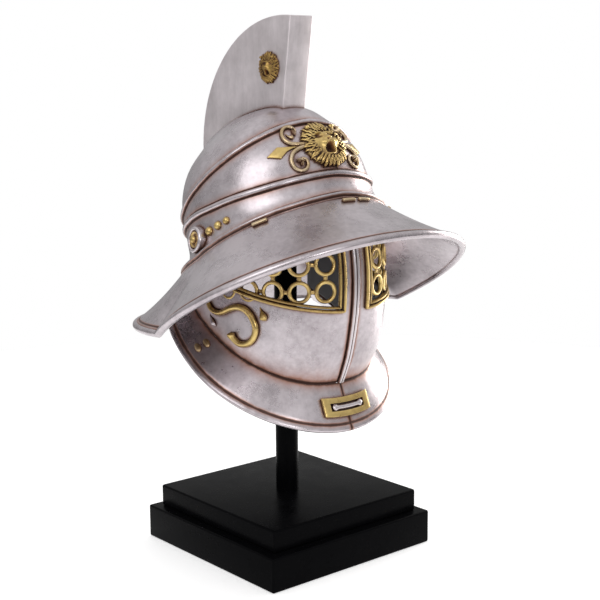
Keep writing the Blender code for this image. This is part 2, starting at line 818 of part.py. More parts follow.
def build_ridge():
    """The raised strip down the front of the face guard, between its halves."""
    low = throat_point(0.0).z + GAP
    half = 0.5 * RIDGE_WIDTH
    top = visor_point(0.0, visor_top(0.0)).y
    corners = [Vector((x, top + y, 0.0)) for x in (-half, half)
               for y in (-RIDGE_PROUD, RIDGE_DEPTH - RIDGE_PROUD)]
    high = min(under_brim(corner) for corner in corners) - 2.0 * GAP
    rows = []
    count = 14
    for k in range(count + 1):
        z = low + (high - low) * k / count
        y = visor_point(0.0, z).y
        front = y - RIDGE_PROUD
        back = front + RIDGE_DEPTH
        rows.append([Vector((-half, back, z)), Vector((-half, y, z)), Vector((-0.55 * half, front, z)),
                     Vector((0.55 * half, front, z)), Vector((half, y, z)), Vector((half, back, z))])

    def strip(body):
        loft(rows, Vector((-1, 0, 0)), True)(body)
        bmesh.ops.holes_fill(body, edges=[e for e in body.edges if e.is_boundary])
    mesh = mesh_from("visor_ridge", strip)
    smooth(mesh, 30)
    place("visor_ridge", mesh, BRIGHT_SILVER, 0.3)


def build_flange(side, word):
    """One half of the flange below the face, from the chin seam round to the neck guard."""
    rows = []
    columns = 18
    for share in (0.0, 0.33, 0.67, 1.0):
        row = []
        for i in range(columns + 1):
            point = flange_point(VISOR_END * i / columns, share)
            row.append(Vector((side * max(0.5 * GAP, point.x), point.y, point.z)))
        rows.append(row)
    name = "chin_flange_" + word
    mesh = mesh_from(name, loft(rows, Vector((0, -1, 0.3))), closed=False)
    smooth(mesh)
    add_wall(place(name, mesh, SILVER), FLANGE_WALL)


def build_post():
    """The post, from the plinth up inside the helmet to the underside of the crown."""
    low = PLINTH_HEIGHT + TIER_HEIGHT + GAP
    heights = []
    for k in range(12):
        turn = 2 * math.pi * k / 12
        start = Vector((POST_RADIUS * math.cos(turn), POST_RADIUS * math.sin(turn), THROAT_HEIGHT))
        heights.append(CROWN_TREE.ray_cast(start, Vector((0, 0, 1)))[0].z)
    high = min(heights) - GAP

    def rod(body):
        bmesh.ops.create_cone(body, cap_ends=True, segments=16, radius1=POST_RADIUS,
                              radius2=POST_RADIUS, depth=high - low)
        bmesh.ops.translate(body, vec=(0.0, 0.0, 0.5 * (low + high)), verts=body.verts)
    mesh = mesh_from("stand_post", rod)
    smooth(mesh)
    place("stand_post", mesh, BLACK, 0.35, 0.3)


def lion_relief(turn, share):
    """Height of a lion mask, 0 to 1, over a disc; turn is from the right ear, share from the nose."""
    x = share * math.cos(turn)
    y = share * math.sin(turn)

    def bump(cx, cy, wide, tall, rise):
        return rise * math.exp(-((x - cx) / wide) ** 2 - ((y - cy) / tall) ** 2)
    mane = 0.42 * (1.0 - share ** 3) + 0.10 * share * (1.0 - share) * math.cos(14 * turn) * 2.0
    face = bump(0, 0.02, 0.42, 0.60, 0.42) + bump(0, -0.14, 0.26, 0.26, 0.42)
    brow = bump(-0.22, 0.40, 0.16, 0.12, 0.22) + bump(0.22, 0.40, 0.16, 0.12, 0.22)
    mouth = -bump(0, -0.42, 0.17, 0.13, 0.75)
    return max(0.06, mane + face + brow + mouth)


def relief_disc(frame, radius, rise, turns, rings, lock=0.0, tall=1.0):
    """A closed cast relief on a surface: frame maps (across, up, off the surface) to the world."""
    def build(body):
        top, base = [], []
        for ring in range(1, rings + 1):
            share = ring / rings
            upper, lower = [], []
            for k in range(turns):
                turn = 2 * math.pi * k / turns
                edge = radius * share * (1.0 + lock * share * math.cos(0.5 * turns * turn))
                x, y = edge * math.cos(turn), edge * tall * math.sin(turn)
                high = GAP + rise * (lion_relief(turn, share) if ring < rings else 0.12)
                upper.append(body.verts.new(frame(x, y, high)))
                lower.append(body.verts.new(frame(x, y, GAP)))
            top.append(upper)
            base.append(lower)
        crown = body.verts.new(frame(0.0, 0.0, GAP + rise * lion_relief(0.0, 0.0)))
        root = body.verts.new(frame(0.0, 0.0, GAP))
        for layer, centre in ((top, crown), (base, root)):
            for k in range(turns):
                j = (k + 1) % turns
                body.faces.new((layer[0][k], layer[0][j], centre))
                for inner, outer in zip(layer, layer[1:]):
                    body.faces.new((inner[k], inner[j], outer[j], outer[k]))
        for k in range(turns):
            j = (k + 1) % turns
            body.faces.new((top[-1][k], top[-1][j], base[-1][j], base[-1][k]))
    return build


def crown_patch(across, up, off):
    """A point off the crown's front, by its distance round the crown and its height."""
    here, normal, _ = crown_frame(across / CROWN_LENGTH, up)
    return here + normal * off


def build_lions():
    def on_crown(x, y, off):
        return crown_patch(x, LION_HEIGHT + y, off)
    mesh = mesh_from("lion_boss", relief_disc(on_crown, LION_RADIUS, LION_RELIEF, 20, 5, 0.05,
                                              LION_TALL))
    smooth(mesh, 60)
    place("lion_boss", mesh, GOLD, 0.4, 0.9)
    for side, word in ((RIGHT, "right"), (LEFT, "left")):
        def on_crest(x, y, off, side=side):
            return Vector((side * (0.5 * CREST_THICKNESS + off), CREST_LION_BACK + x,
                           CREST_LION_HEIGHT + y))
        name = "crest_lion_" + word
        mesh = mesh_from(name, relief_disc(on_crest, CREST_LION_RADIUS, CREST_LION_RELIEF, 12, 3,
                                           0.05, 1.08))
        smooth(mesh, 60)
        place(name, mesh, OLD_GOLD, 0.4, 0.9)


def build_scrolls():
    """Spiral scrolls beside the lion: one curls up and one down on each side."""
    for side, word in ((RIGHT, "right"), (LEFT, "left")):
        for name, up, turn_way in (("scroll_upper_", SCROLL_UPPER_HEIGHT, 1),
                                   ("scroll_lower_", SCROLL_LOWER_HEIGHT, -1)):
            points, radii = [], []
            steps = 12
            for k in range(steps + 1):
                share = k / steps
                turn = turn_way * (-0.62 * math.pi + 2.05 * math.pi * share)
                size = SCROLL_RADIUS * (1.22 - 0.85 * share)
                x = SCROLL_PLACE + size * math.cos(turn)
                z = up + size * math.sin(turn)
                thick = SCROLL_EYE if share > 0.9 else 1.0
                points.append(crown_patch(side * x, z, SCROLL_WIRE * thick + GAP))
                radii.append(thick)
            full = name + word
            place(full, wire(full, points, SCROLL_WIRE, radii=radii), BRIGHT_SILVER, 0.35)


def build_leaves():
    """Flat gold leaves that point outward from the lion between its scrolls."""
    half = 0.5 * LEAF_WIDTH
    neck = 0.25 * half
    root = LEAF_TIP - LEAF_LENGTH
    shoulder = LEAF_TIP - 0.39 * LEAF_LENGTH
    waist = 0.5 * (shoulder + root)
    outline = [(LEAF_TIP, -0.23 * half), (shoulder, half), (waist, 0.31 * half + 1.4 * neck),
               (root, 0.46 * half + neck), (root, 0.46 * half - neck),
               (waist, 0.16 * half - 1.4 * neck), (shoulder, -half)]
    for side, word in ((RIGHT, "right"), (LEFT, "left")):
        def leaf(body, side=side):
            low, high = [[body.verts.new(crown_patch(side * x, LEAF_HEIGHT + z, off))
                          for x, z in outline] for off in (GAP, GAP + LEAF_THICKNESS)]
            body.faces.new(low)
            body.faces.new(high)
            for i in range(len(outline)):
                j = (i + 1) % len(outline)
                body.faces.new((low[i], low[j], high[j], high[i]))
        name = "leaf_" + word
        place(name, mesh_from(name, leaf), GOLD, 0.35, 0.9)


def turned(name, profile, here, normal, colour, segments=12):
    """A turned boss on a surface: profile is (radius, height) from its outer foot to its middle."""
    curve = bpy.data.meshes.new(name)
    curve.from_pydata([(r, 0.0, h) for r, h in profile], [(i, i + 1) for i in range(len(profile) - 1)],
                      [])
    guide = bpy.data.objects.new(name + "_profile", curve)
    PARTS.objects.link(guide)
    spin = guide.modifiers.new("spin", "SCREW")
    spin.steps = segments
    spin.render_steps = segments
    spin.use_merge_vertices = True
    spin.merge_threshold = 1e-5
    mesh = evaluated_mesh(guide)
    bpy.data.objects.remove(guide, do_unlink=True)
    bpy.data.meshes.remove(curve)
    body = bmesh.new()
    body.from_mesh(mesh)
    bmesh.ops.remove_doubles(body, verts=body.verts, dist=1e-5)
    face_outward(body)
    turn = Vector((0, 0, 1)).rotation_difference(normal).to_matrix().to_4x4()
    bmesh.ops.transform(body, matrix=Matrix.Translation(here) @ turn, verts=body.verts)
    body.to_mesh(mesh)
    body.free()
    smooth(mesh)
    place(name, mesh, colour, 0.35, 0.9)


def dome_profile(radius, height, steps=4):
    """A closed half profile of a low dome, with a flat underside."""
    arc = [(radius * math.cos(0.5 * math.pi * k / steps), height * math.sin(0.5 * math.pi * k / steps))
           for k in range(steps)]
    return [(0.0, 0.0)] + arc + [(0.0, height)]


def build_rosettes():
    """Round bosses on the temples: a silver ring round a gold dish with a knob."""
    for side, word in ((RIGHT, "right"), (LEFT, "left")):
        here, normal, _ = crown_frame(side * ROSETTE_PLACE, ROSETTE_HEIGHT)
        seat = here + normal * (BEAD_HEIGHT + 2.5 * GAP)
        r, d = ROSETTE_RADIUS, ROSETTE_DEPTH
        ring = [(0.0, 0.0), (r, 0.0), (r, 0.45 * d), (0.90 * r, 0.78 * d), (0.72 * r, 0.62 * d),
                (0.64 * r, 0.25 * d), (0.0, 0.25 * d)]
        turned("rosette_ring_" + word, ring, seat, normal, BRIGHT_SILVER, 14)
        low = 0.25 * d + GAP
        q = 0.64 * r - GAP
        dish = [(0.0, low), (q * 0.92, low), (q, low + 0.12 * d), (0.75 * q, low + 0.30 * d),
                (0.42 * q, low + 0.22 * d), (0.34 * q, low + 0.62 * d), (0.0, low + 0.78 * d)]
        turned("rosette_dish_" + word, dish, seat, normal, GOLD, 10)


def build_studs():
    """Three graded studs on the brow band in front of each rosette."""
    for side, word in ((RIGHT, "right"), (LEFT, "left")):
        for number, stud in enumerate(STUDS, 1):
            here, normal, _ = crown_frame(side * math.radians(stud["angle"]), STUD_HEIGHT)
            size = STUD_RADIUS * stud["size"]
            turned(f"stud_{word}_{number}", dome_profile(size, 0.9 * size, 3), here + normal * GAP,
                   normal, GOLD, 8)


def on_brim(angle, share):
    here = brim_point(angle, share)
    along = (brim_point(angle + 0.01, share) - brim_point(angle - 0.01, share)).normalized()
    out = (brim_point(angle, share + 0.01) - brim_point(angle, share - 0.01)).normalized()
    normal = along.cross(out).normalized()
    if normal.z < 0:
        normal = -normal
    return here, normal, along


def block(name, here, normal, along, size, colour):
    """A small raised bar that lies on a surface."""
    def build(body):
        bmesh.ops.create_cube(body, size=1.0)
        bmesh.ops.scale(body, vec=size, verts=body.verts)
        bmesh.ops.translate(body, vec=(0.0, 0.0, 0.5 * size[2] + 2.0 * GAP), verts=body.verts)
        across = normal.cross(along).normalized()
        turn = Matrix((along, across, normal)).transposed().to_4x4()
        bmesh.ops.transform(body, matrix=Matrix.Translation(here) @ turn, verts=body.verts)
    place(name, mesh_from(name, build), colour, 0.35)


def build_brim_bars():
    """Small raised bars on the brim just below the lowest moulding."""
    for bar in BARS:
        here, normal, along = on_brim(math.radians(bar["angle"]), BAR_PLACE)
        block(bar["name"], here, normal, along, (BAR_LENGTH, BAR_WIDTH, BAR_THICKNESS), BRIGHT_SILVER)


def spline(points, count):
    """Evenly spread points on a Catmull-Rom curve through a few chosen ones."""
    pts = [np.array(p, float) for p in points]
    pts = [2 * pts[0] - pts[1]] + pts + [2 * pts[-1] - pts[-2]]
    out = []
    for k in range(count + 1):
        s = k / count * (len(points) - 1)
        i = min(int(s), len(points) - 2)
        t = s - i
        a, b, c, d = pts[i:i + 4]
        out.append(0.5 * (2 * b + (c - a) * t + (2 * a - 5 * b + 4 * c - d) * t * t
                          + (3 * b - a - 3 * c + d) * t ** 3))
    return out


def build_s_scrolls():
    """The large gold S-scrolls on the cheeks, with a bulb at the lower end."""
    chosen = [(row["round"] * VISOR_HALF_WIDTH, THROAT_HEIGHT + row["up"] * VISOR_HALF_WIDTH)
              for row in S_SCROLL]
    for side, word in ((RIGHT, "right"), (LEFT, "left")):
        points, radii = [], []
        path = spline(chosen, 24)
        for k, (length, z) in enumerate(path):
            here, normal = visor_frame(length, z, side)
            bulb = S_SCROLL_BULB if k < 2 else 1.0 - 0.25 * max(0.0, (k - 18) / 6)
            points.append(here + normal * (S_SCROLL_WIRE * bulb + GAP))
            radii.append(bulb)
        name = "s_scroll_" + word
        place(name, wire(name, points, S_SCROLL_WIRE, radii=radii), GOLD, 0.3, 0.9)


def build_drops():
    """Teardrops beside each S-scroll, gold in front and slender silver behind."""
    for side, word in ((RIGHT, "right"), (LEFT, "left")):
        for drop, colour in zip(DROPS, (GOLD, BRIGHT_SILVER)):
            points, radii = [], []
            for k in range(5):
                share = k / 4
                length, up = [VISOR_HALF_WIDTH * (top + (foot - top) * share)
                              for top, foot in zip(drop["top"], drop["foot"])]
                swell = math.sin(math.pi * min(0.93, 0.12 + 0.78 * share ** 1.4))
                size = drop["fat"] * max(0.25, swell)
                here, normal = visor_frame(length, THROAT_HEIGHT + up, side)
                points.append(here + normal * (DROP_RADIUS * size + GAP))
                radii.append(size)
            name = drop["name"] + "_" + word
            place(name, wire(name, points, DROP_RADIUS, radii=radii), colour, 0.3)


def build_flange_studs():
    """Two small oval studs on each side of the flange, near its back."""
    for side, word in ((RIGHT, "right"), (LEFT, "left")):
        for number, stud in enumerate(FLANGE_STUDS, 1):
            here, normal, rise = flange_frame(side * math.radians(stud["angle"]), stud["out"])
            points = [here + rise * (FLANGE_STUD_LENGTH * (k / 3 - 0.5))
                      + normal * (FLANGE_STUD_RADIUS + 2 * GAP) for k in range(4)]
            name = f"flange_stud_{word}_{number}"
            mesh = wire(name, points, FLANGE_STUD_RADIUS, radii=[0.6, 1.0, 1.0, 0.6])
            place(name, mesh, BRIGHT_SILVER, 0.35)


def flange_patch(across, up, off):
    """A point off the flange's front, by its distance across and up from the buckle's middle."""
    drop = (throat_point(0.0) - flange_rim(0.0)).length
    share = BUCKLE_PLACE - up / drop
    angle = float(np.interp(abs(across), FLANGE_ACROSS, FLANGE_ANGLES))
    here, normal, _ = flange_frame(math.copysign(angle, across), share)
    return Vector((across, here.y, here.z)) + normal * off


def build_buckle():
    """The chin buckle: a gold plate with a slot, and a silver bar with flared ends in the slot."""
    columns = [-0.5, -0.5 * BUCKLE_SLOT_WIDTH / BUCKLE_WIDTH, -0.12, 0.12,
               0.5 * BUCKLE_SLOT_WIDTH / BUCKLE_WIDTH, 0.5]
    rows = [-0.5, -0.5 * BUCKLE_SLOT_HEIGHT / BUCKLE_HEIGHT, 0.5 * BUCKLE_SLOT_HEIGHT / BUCKLE_HEIGHT,
            0.5]

    def plate(body):
        layers = []
        for off in (2 * GAP, 2 * GAP + BUCKLE_THICKNESS):
            layers.append([[body.verts.new(flange_patch(c * BUCKLE_WIDTH, r * BUCKLE_HEIGHT, off))
                            for c in columns] for r in rows])
        cells = [(r, c) for r in range(3) for c in range(5) if not (r == 1 and 0 < c < 4)]
        for layer in layers:
            for r, c in cells:
                body.faces.new((layer[r][c], layer[r][c + 1], layer[r + 1][c + 1], layer[r + 1][c]))
        low, high = layers
        for r, c in cells:
            for (r1, c1), (r2, c2), near in (((r, c), (r, c + 1), (r - 1, c)),
                                             ((r + 1, c), (r + 1, c + 1), (r + 1, c)),
                                             ((r, c), (r + 1, c), (r, c - 1)),
                                             ((r, c + 1), (r + 1, c + 1), (r, c + 1))):
                if near not in cells:
                    body.faces.new((low[r1][c1], low[r2][c2], high[r2][c2], high[r1][c1]))
    place("buckle_plate", mesh_from("buckle_plate", plate), GOLD, 0.35, 0.9)
    points, radii = [], []
    reach = 0.5 * BUCKLE_SLOT_WIDTH - 2.5 * GAP
    thin = 0.30 * BUCKLE_SLOT_HEIGHT
    for share in (-1.0, -0.88, -0.74, -0.3, 0.3, 0.74, 0.88, 1.0):
        flare = BUCKLE_FLARE if abs(share) > 0.8 else 1.0
        points.append(flange_patch(share * reach, 0.0, 2 * GAP + thin * flare))
        radii.append(flare)
    place("buckle_bar", wire("buckle_bar", points, thin, radii=radii), BRIGHT_SILVER, 0.3)


clear_scene()
PARTS = new_collection("thracian_helmet")
CUTTERS = new_collection("cutters")
ARC_ANGLES, ARC_LENGTHS = visor_angles()
FLANGE_ANGLES = [math.radians(a) for a in range(0, 60)]
FLANGE_ACROSS = [flange_point(a, BUCKLE_PLACE).x for a in FLANGE_ANGLES]

build_plinth()
CROWN = build_crown()
BRIM = build_brim()
bpy.context.view_layer.update()
CROWN_TREE = surface_tree(CROWN)
BRIM_TREE = surface_tree(BRIM)
build_post()
build_beads()
build_brim_roll()
build_crest()
for half, label in ((RIGHT, "right"), (LEFT, "left")):
    build_visor(half, label)
    build_grille(half, label)
    build_flange(half, label)
build_ridge()
build_lions()
build_scrolls()
build_leaves()
build_rosettes()
build_studs()
build_brim_bars()
build_s_scrolls()
build_drops()
build_flange_studs()
build_buckle()
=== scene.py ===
"""Looks of the thracian helmet on its stand: silvered and gilt castings with a rust-brown wash.

Metres, +Z up, the helmet faces -Y and +X is the wearer's left. Laid out as an add-on, run as a script.
"""
import bisect
import math

import bmesh
import bpy
from bpy.props import FloatProperty, FloatVectorProperty, PointerProperty
from mathutils import Matrix, Vector
from mathutils.bvhtree import BVHTree


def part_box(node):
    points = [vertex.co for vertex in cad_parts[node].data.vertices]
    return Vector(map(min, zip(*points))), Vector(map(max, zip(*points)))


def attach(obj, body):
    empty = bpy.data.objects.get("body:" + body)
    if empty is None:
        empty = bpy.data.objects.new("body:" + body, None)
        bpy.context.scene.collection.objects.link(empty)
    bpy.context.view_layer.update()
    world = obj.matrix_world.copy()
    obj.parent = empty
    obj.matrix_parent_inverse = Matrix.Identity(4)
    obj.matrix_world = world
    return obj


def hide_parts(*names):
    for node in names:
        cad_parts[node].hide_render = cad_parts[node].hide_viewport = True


bl_info = {
    "name": "Thracian helmet",
    "version": (1, 0, 0),
    "blender": (4, 5, 0),
    "location": "3D View > Sidebar > Helmet",
    "description": "Builds the dressed helmet round its CAD frame",
    "category": "Object",
}

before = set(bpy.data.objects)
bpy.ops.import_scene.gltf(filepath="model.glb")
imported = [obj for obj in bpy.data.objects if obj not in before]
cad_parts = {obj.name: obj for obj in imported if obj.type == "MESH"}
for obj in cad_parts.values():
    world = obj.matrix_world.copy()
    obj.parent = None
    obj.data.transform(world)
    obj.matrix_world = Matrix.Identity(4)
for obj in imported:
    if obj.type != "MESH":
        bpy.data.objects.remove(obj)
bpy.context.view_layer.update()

GAP = 0.0003
PLINTH_SIDE = 0.096
PLINTH_HEIGHT = 0.0157
TIER_SIDE = 0.0867
TIER_HEIGHT = 0.0103
POST_RADIUS = 0.00535
HELMET_TILT = math.radians(29.3)
CROWN_BASE_HEIGHT = 0.1476
CROWN_HEIGHT = 0.062
CROWN_LENGTH = 0.0439
CROWN_WIDTH = 0.0452
CROWN_SQUARENESS = 2.1
CROWN_UP = (0.000, 0.185, 0.347, 0.508, 0.669, 0.798, 0.895, 0.960, 0.990, 1.000)
CROWN_WIDE = (1.000, 0.980, 0.958, 0.894, 0.754, 0.551, 0.374, 0.223, 0.104, 0.000)
CROWN_LONG = (1.000, 0.989, 0.977, 0.929, 0.836, 0.711, 0.522, 0.314, 0.123, 0.000)
CROWN_FORWARD = (0.000, 0.036, 0.055, 0.057, 0.059, 0.048, -0.064, -0.223, -0.380, -0.400)
BEAD_TURNS = tuple(math.radians(a) for a in (0, 20, 45, 65, 80, 95, 115, 180))
BEAD_HEIGHTS = ((-0.0004, -0.0018, -0.0030, -0.0040, -0.0048, -0.0054, -0.0055, -0.0040),
                (0.0102, 0.0097, 0.0101, 0.0116, 0.0129, 0.0148, 0.0158, 0.0150),
                (0.0376, 0.0362, 0.0330, 0.0299, 0.0276, 0.0252, 0.0224, 0.0208))
BEAD_WIDTHS = (0.85, 1.05, 0.95)
SKIRT_FILLET = 0.0050
SKIRT_PROUD = 0.0003
HALO = 0.0014
CROWN_WALL = 0.0024
BRIM_WALL = 0.0024
BRIM_SEAT = 0.0060
BRIM_HALF_WIDTH = 0.0780
BRIM_FRONT = 0.0700
BRIM_FORWARD = 0.0033
BRIM_DROP = 0.0340
BRIM_CORNER = math.radians(107.6)
BRIM_SAG = 0.0015
BRIM_LIP = 0.0014
GUARD_LENGTH = 0.0660
GUARD_FALL = 0.0030
BAR_SIDES = (0.0072, 0.0018, 0.0016)
BAR_REACH = 0.125
BARS = (("bar_front_middle", 0.0), ("bar_front_left", 10.0), ("bar_side_right", -48.0),
        ("bar_side_left", 48.0))
CREST_THICKNESS = 0.01334
CREST_RADIUS = 0.0602
CREST_BACK = -0.0060
CREST_CENTRE_HEIGHT = 0.0396
CREST_LEAN = math.radians(8.3)
CREST_TOP_FRONT = -0.0132
CREST_TAIL = math.radians(-27.0)
CREST_SUNK = 0.0016
VISOR_WALL = 0.0022
VISOR_HALF_WIDTH = 0.0403
VISOR_FRONT = 0.0485
VISOR_REAR = 0.0455
VISOR_SQUARENESS = 2.38
VISOR_CHIN = 0.0844
VISOR_BROW = 0.1660
VISOR_END = math.radians(119.0)
VISOR_UP = (0.000, 0.069, 0.154, 0.246, 0.338, 0.425, 0.600, 0.755, 0.865, 1.000)
VISOR_FRONTS = (0.781, 0.835, 0.891, 0.932, 0.963, 0.986, 1.000, 0.975, 0.938, 0.880)
VISOR_SIDES = (0.810, 0.885, 0.962, 0.998, 1.000, 1.000, 1.000, 1.000, 1.000, 1.000)
RIDGE_WIDTH = 0.0044
THROAT_HEIGHT = 0.1045
THROAT_SLOPE = 0.527
FLANGE_WALL = 0.0022
FLANGE_HALF_WIDTH = 0.0537
FLANGE_FRONT = 0.0463
FLANGE_REAR = 0.0622
FLANGE_HEIGHT = 0.09026
FLANGE_SLOPE = 0.567
FLANGE_SIDE_LIFT = 0.00126
RING_PITCH = 0.01200
RING_FIRST = 0.0156
RING_ROW = 0.1283
RING_COUNTS = (5, 5, 4)
RING_SUNK = 0.0011
WINDOW_INNER = 0.0072
WINDOW_OUTER = 0.0660
WINDOW_SILL = 0.1187
WINDOW_SILL_RISE = 0.0107
WINDOW_HEAD_GAP = 0.0045
TOP_LAP = 0.0008
CREST_LION_BACK = 0.0018
CREST_LION_HEIGHT = 0.2246
CREST_LION_RELIEF = 0.0028
CREST_LION_TALL = 0.96
LION_HEIGHT = 0.0240
LION_RELIEF = 0.0058
LION_TALL = 0.98
BUCKLE_PLACE = 0.50
BUCKLE_WIDTH = 0.0262
BUCKLE_HEIGHT = 0.0088
BUCKLE_BAR_REACH = 0.0086
RIGHT = -1
LEFT = 1
SIDES = ((RIGHT, "right"), (LEFT, "left"))


def measure(name, text, metres):
    return FloatProperty(name=name, description=text, default=metres, unit="LENGTH")


class HelmetSizes(bpy.types.PropertyGroup):
    """Sizes of the fine castings"""
    moulding_width: measure("Moulding width", "Width of the crown's mouldings", 0.0026)
    moulding_height: measure("Moulding height", "Height of the crown's mouldings", 0.0013)
    brim_edge: measure("Brim edge", "Radius of the brim's rolled edge", 0.0018)
    groove_depth: measure("Groove depth", "Depth of the engraved lines", 0.00028)
    ring_radius: measure("Ring radius", "Middle radius of a grille ring", 0.00436)
    ring_wire: measure("Ring wire", "Half thickness of a grille ring", 0.00090)
    frame_width: measure("Window frame", "Half width of the window frame's outer strand", 0.00085)
    scroll_wire: measure("Scroll wire", "Half width of the brow scrolls", 0.00112)
    s_scroll_wire: measure("Cheek scroll", "Half width of the cheek scrolls", 0.00142)
    lion_radius: measure("Lion radius", "Half width of the brow lion, mane and all", 0.0117)
    crest_lion_radius: measure("Crest lion radius", "Half width of a crest lion", 0.0074)
    rosette_radius: measure("Rosette radius", "Outer radius of a rosette", 0.0060)
    stud_radius: measure("Stud radius", "Radius of the largest temple stud", 0.0021)


def paint(name, text, colour):
    return FloatVectorProperty(name=name, description=text, default=colour, size=3, subtype="COLOR",
                               min=0.0, max=1.0)


class HelmetColours(bpy.types.PropertyGroup):
    """Colours of the paints"""
    silver: paint("Silver", "Main tone of the silver leaf", (0.56, 0.51, 0.535))
    silver_shade: paint("Silver shade", "Greyer tone between the brush marks", (0.31, 0.275, 0.29))
    # Painted highlight: a brighter copy of the silver for the brow ridge, buckle bar, rosette rings and
    # silver drops, standing in for their highlights.
    highlight_silver: paint("Highlight silver", "Silver where a hand or a cloth brightens it", (0.60, 0.55, 0.56))
    wash: paint("Wash", "Thin rust wash beside the grooves", (0.34, 0.125, 0.055))
    wash_deep: paint("Deep wash", "Thick wash in the grooves", (0.035, 0.011, 0.007))
    gold: paint("Gold", "Gilding on the castings", (0.66, 0.49, 0.19))
    gold_shade: paint("Gold shade", "Worn gilding", (0.36, 0.23, 0.085))
    pale_gold: paint("Pale gold", "Thin gilding on brow scrolls, bars and flange studs", (0.66, 0.54, 0.38))
    old_gold: paint("Old gold", "Darkened gilding on the crest lions", (0.50, 0.33, 0.10))
    old_gold_shade: paint("Old gold shade", "The darkest of that gilding", (0.20, 0.12, 0.04))
    crest: paint("Crest", "Brushed silver of the crest", (0.78, 0.72, 0.74))
    crest_shade: paint("Crest shade", "Between the crest's brush marks", (0.56, 0.51, 0.52))
    # Painted shade: the near-black coat inside stands in for the shade within the helmet.
    inside: paint("Inside", "Dark primer inside the helmet", (0.055, 0.05, 0.052))
    black: paint("Black", "Lacquer of the stand", (0.0015, 0.0015, 0.0018))
    floor: paint("Floor", "Pale studio floor", (0.93, 0.93, 0.93))


def sizes():
    return bpy.context.scene.helmet_sizes


def colours():
    return bpy.context.scene.helmet_colours


def table(xs, ys, at):
    """A smooth curve through a short table."""
    at = min(max(at, xs[0]), xs[-1])
    i = max(k for k in range(len(xs) - 1) if xs[k] <= at)
    width = xs[i + 1] - xs[i]
    here = (ys[i + 1] - ys[i]) / width
    before = (ys[i] - ys[i - 1]) / (xs[i] - xs[i - 1]) if i else here
    after = here if i + 2 == len(xs) else (ys[i + 2] - ys[i + 1]) / (xs[i + 2] - xs[i + 1])
    start = 0.5 * (before + here) * width
    end = 0.5 * (here + after) * width
    t = (at - xs[i]) / width
    return ((2 * t**3 - 3 * t**2 + 1) * ys[i] + (t**3 - 2 * t**2 + t) * start
            + (3 * t**2 - 2 * t**3) * ys[i + 1] + (t**3 - t**2) * end)


def power(value, exponent):
    return math.copysign(abs(value) ** exponent, value)


def ease(low, high, at):
    """0 below low, 1 above high, smooth between."""
    t = min(max((at - low) / (high - low), 0.0), 1.0)
    return t * t * (3 - 2 * t)


def round_angle(i, columns):
    """The angle of column i of a ring, from -180 to 180 degrees; the brow is at 0."""
    return 2.0 * math.pi * i / columns - math.pi


def hill(at, centre, width):
    return math.exp(-((at - centre) / width) ** 2)


def tilted(across, forward, up):
    cos, sin = math.cos(HELMET_TILT), math.sin(HELMET_TILT)
    return Vector((across, -forward * cos + up * sin, CROWN_BASE_HEIGHT + forward * sin + up * cos))


def crown_point(angle, up):
    share = up / CROWN_HEIGHT
    wide = table(CROWN_UP, CROWN_WIDE, share) * CROWN_WIDTH
    long = table(CROWN_UP, CROWN_LONG, share) * CROWN_LENGTH
    centre = table(CROWN_UP, CROWN_FORWARD, share) * CROWN_LENGTH
    e = 2.0 / CROWN_SQUARENESS
    return tilted(wide * power(math.sin(angle), e), centre + long * power(math.cos(angle), e), up)


def surface_frame(point, a, b, step_a, step_b, inside):
    """The surface's point at (a, b) and its normal, which points away from the inside point."""
    here = point(a, b)
    along = point(a + step_a, b) - point(a - step_a, b)
    rise = point(a, b + step_b) - point(a, b - step_b)
    normal = along.cross(rise).normalized()
    return here, -normal if normal.dot(here - inside) < 0 else normal


def crown_frame(angle, up):
    return surface_frame(crown_point, angle, up, 0.01, 0.0005, tilted(0.0, 0.0, 0.0))


def brim_root(angle):
    e = 2.0 / CROWN_SQUARENESS
    return tilted(CROWN_WIDTH * power(math.sin(angle), e), CROWN_LENGTH * power(math.cos(angle), e), -GAP)


def brim_rim(angle):
    side = 1.0 if angle >= 0 else -1.0
    turn = abs(angle)
    corner = tilted(BRIM_HALF_WIDTH * math.sin(BRIM_CORNER),
                    BRIM_FORWARD + BRIM_FRONT * math.cos(BRIM_CORNER), -BRIM_DROP)
    if turn <= math.pi / 2:
        sweep = turn * BRIM_CORNER / (math.pi / 2)
        return tilted(side * BRIM_HALF_WIDTH * math.sin(sweep),
                      BRIM_FORWARD + BRIM_FRONT * math.cos(sweep), -BRIM_DROP)
    back = -math.cos(turn)
    return Vector((side * corner.x * math.sin(turn), corner.y + (GUARD_LENGTH - corner.y) * back,
                   corner.z - GUARD_FALL * back))


def brim_point(angle, share):
    root = brim_root(angle)
    rim = brim_rim(angle) + Vector((0.0, 0.0, BRIM_LIP))
    return root.lerp(rim, share) + Vector((0.0, 0.0, -BRIM_SAG * 4.0 * share * (1.0 - share)))


def brim_frame(angle, share):
    here = brim_point(angle, share)
    along = (brim_point(angle + 0.01, share) - brim_point(angle - 0.01, share)).normalized()
    out = (brim_point(angle, share + 0.01) - brim_point(angle, share - 0.01)).normalized()
    normal = along.cross(out).normalized()
    return here, -normal if normal.z < 0 else normal, along, out


def visor_size(z):
    share = (z - VISOR_CHIN) / (VISOR_BROW - VISOR_CHIN)
    return (table(VISOR_UP, VISOR_FRONTS, share) * VISOR_FRONT,
            table(VISOR_UP, VISOR_SIDES, share) * VISOR_HALF_WIDTH)


def visor_point(angle, z):
    front, side = visor_size(z)
    e = 2.0 / VISOR_SQUARENESS
    reach = front if math.cos(angle) >= 0 else VISOR_REAR
    return Vector((side * power(math.sin(angle), e), -reach * power(math.cos(angle), e), z))


def arc_table(count=400):
    angles = [VISOR_END * k / count for k in range(count + 1)]
    lengths = [0.0]
    for a, b in zip(angles, angles[1:]):
        lengths.append(lengths[-1] + (visor_point(b, RING_ROW) - visor_point(a, RING_ROW)).length)
    return lengths, angles


ARC_LENGTHS, ARC_ANGLES = arc_table()


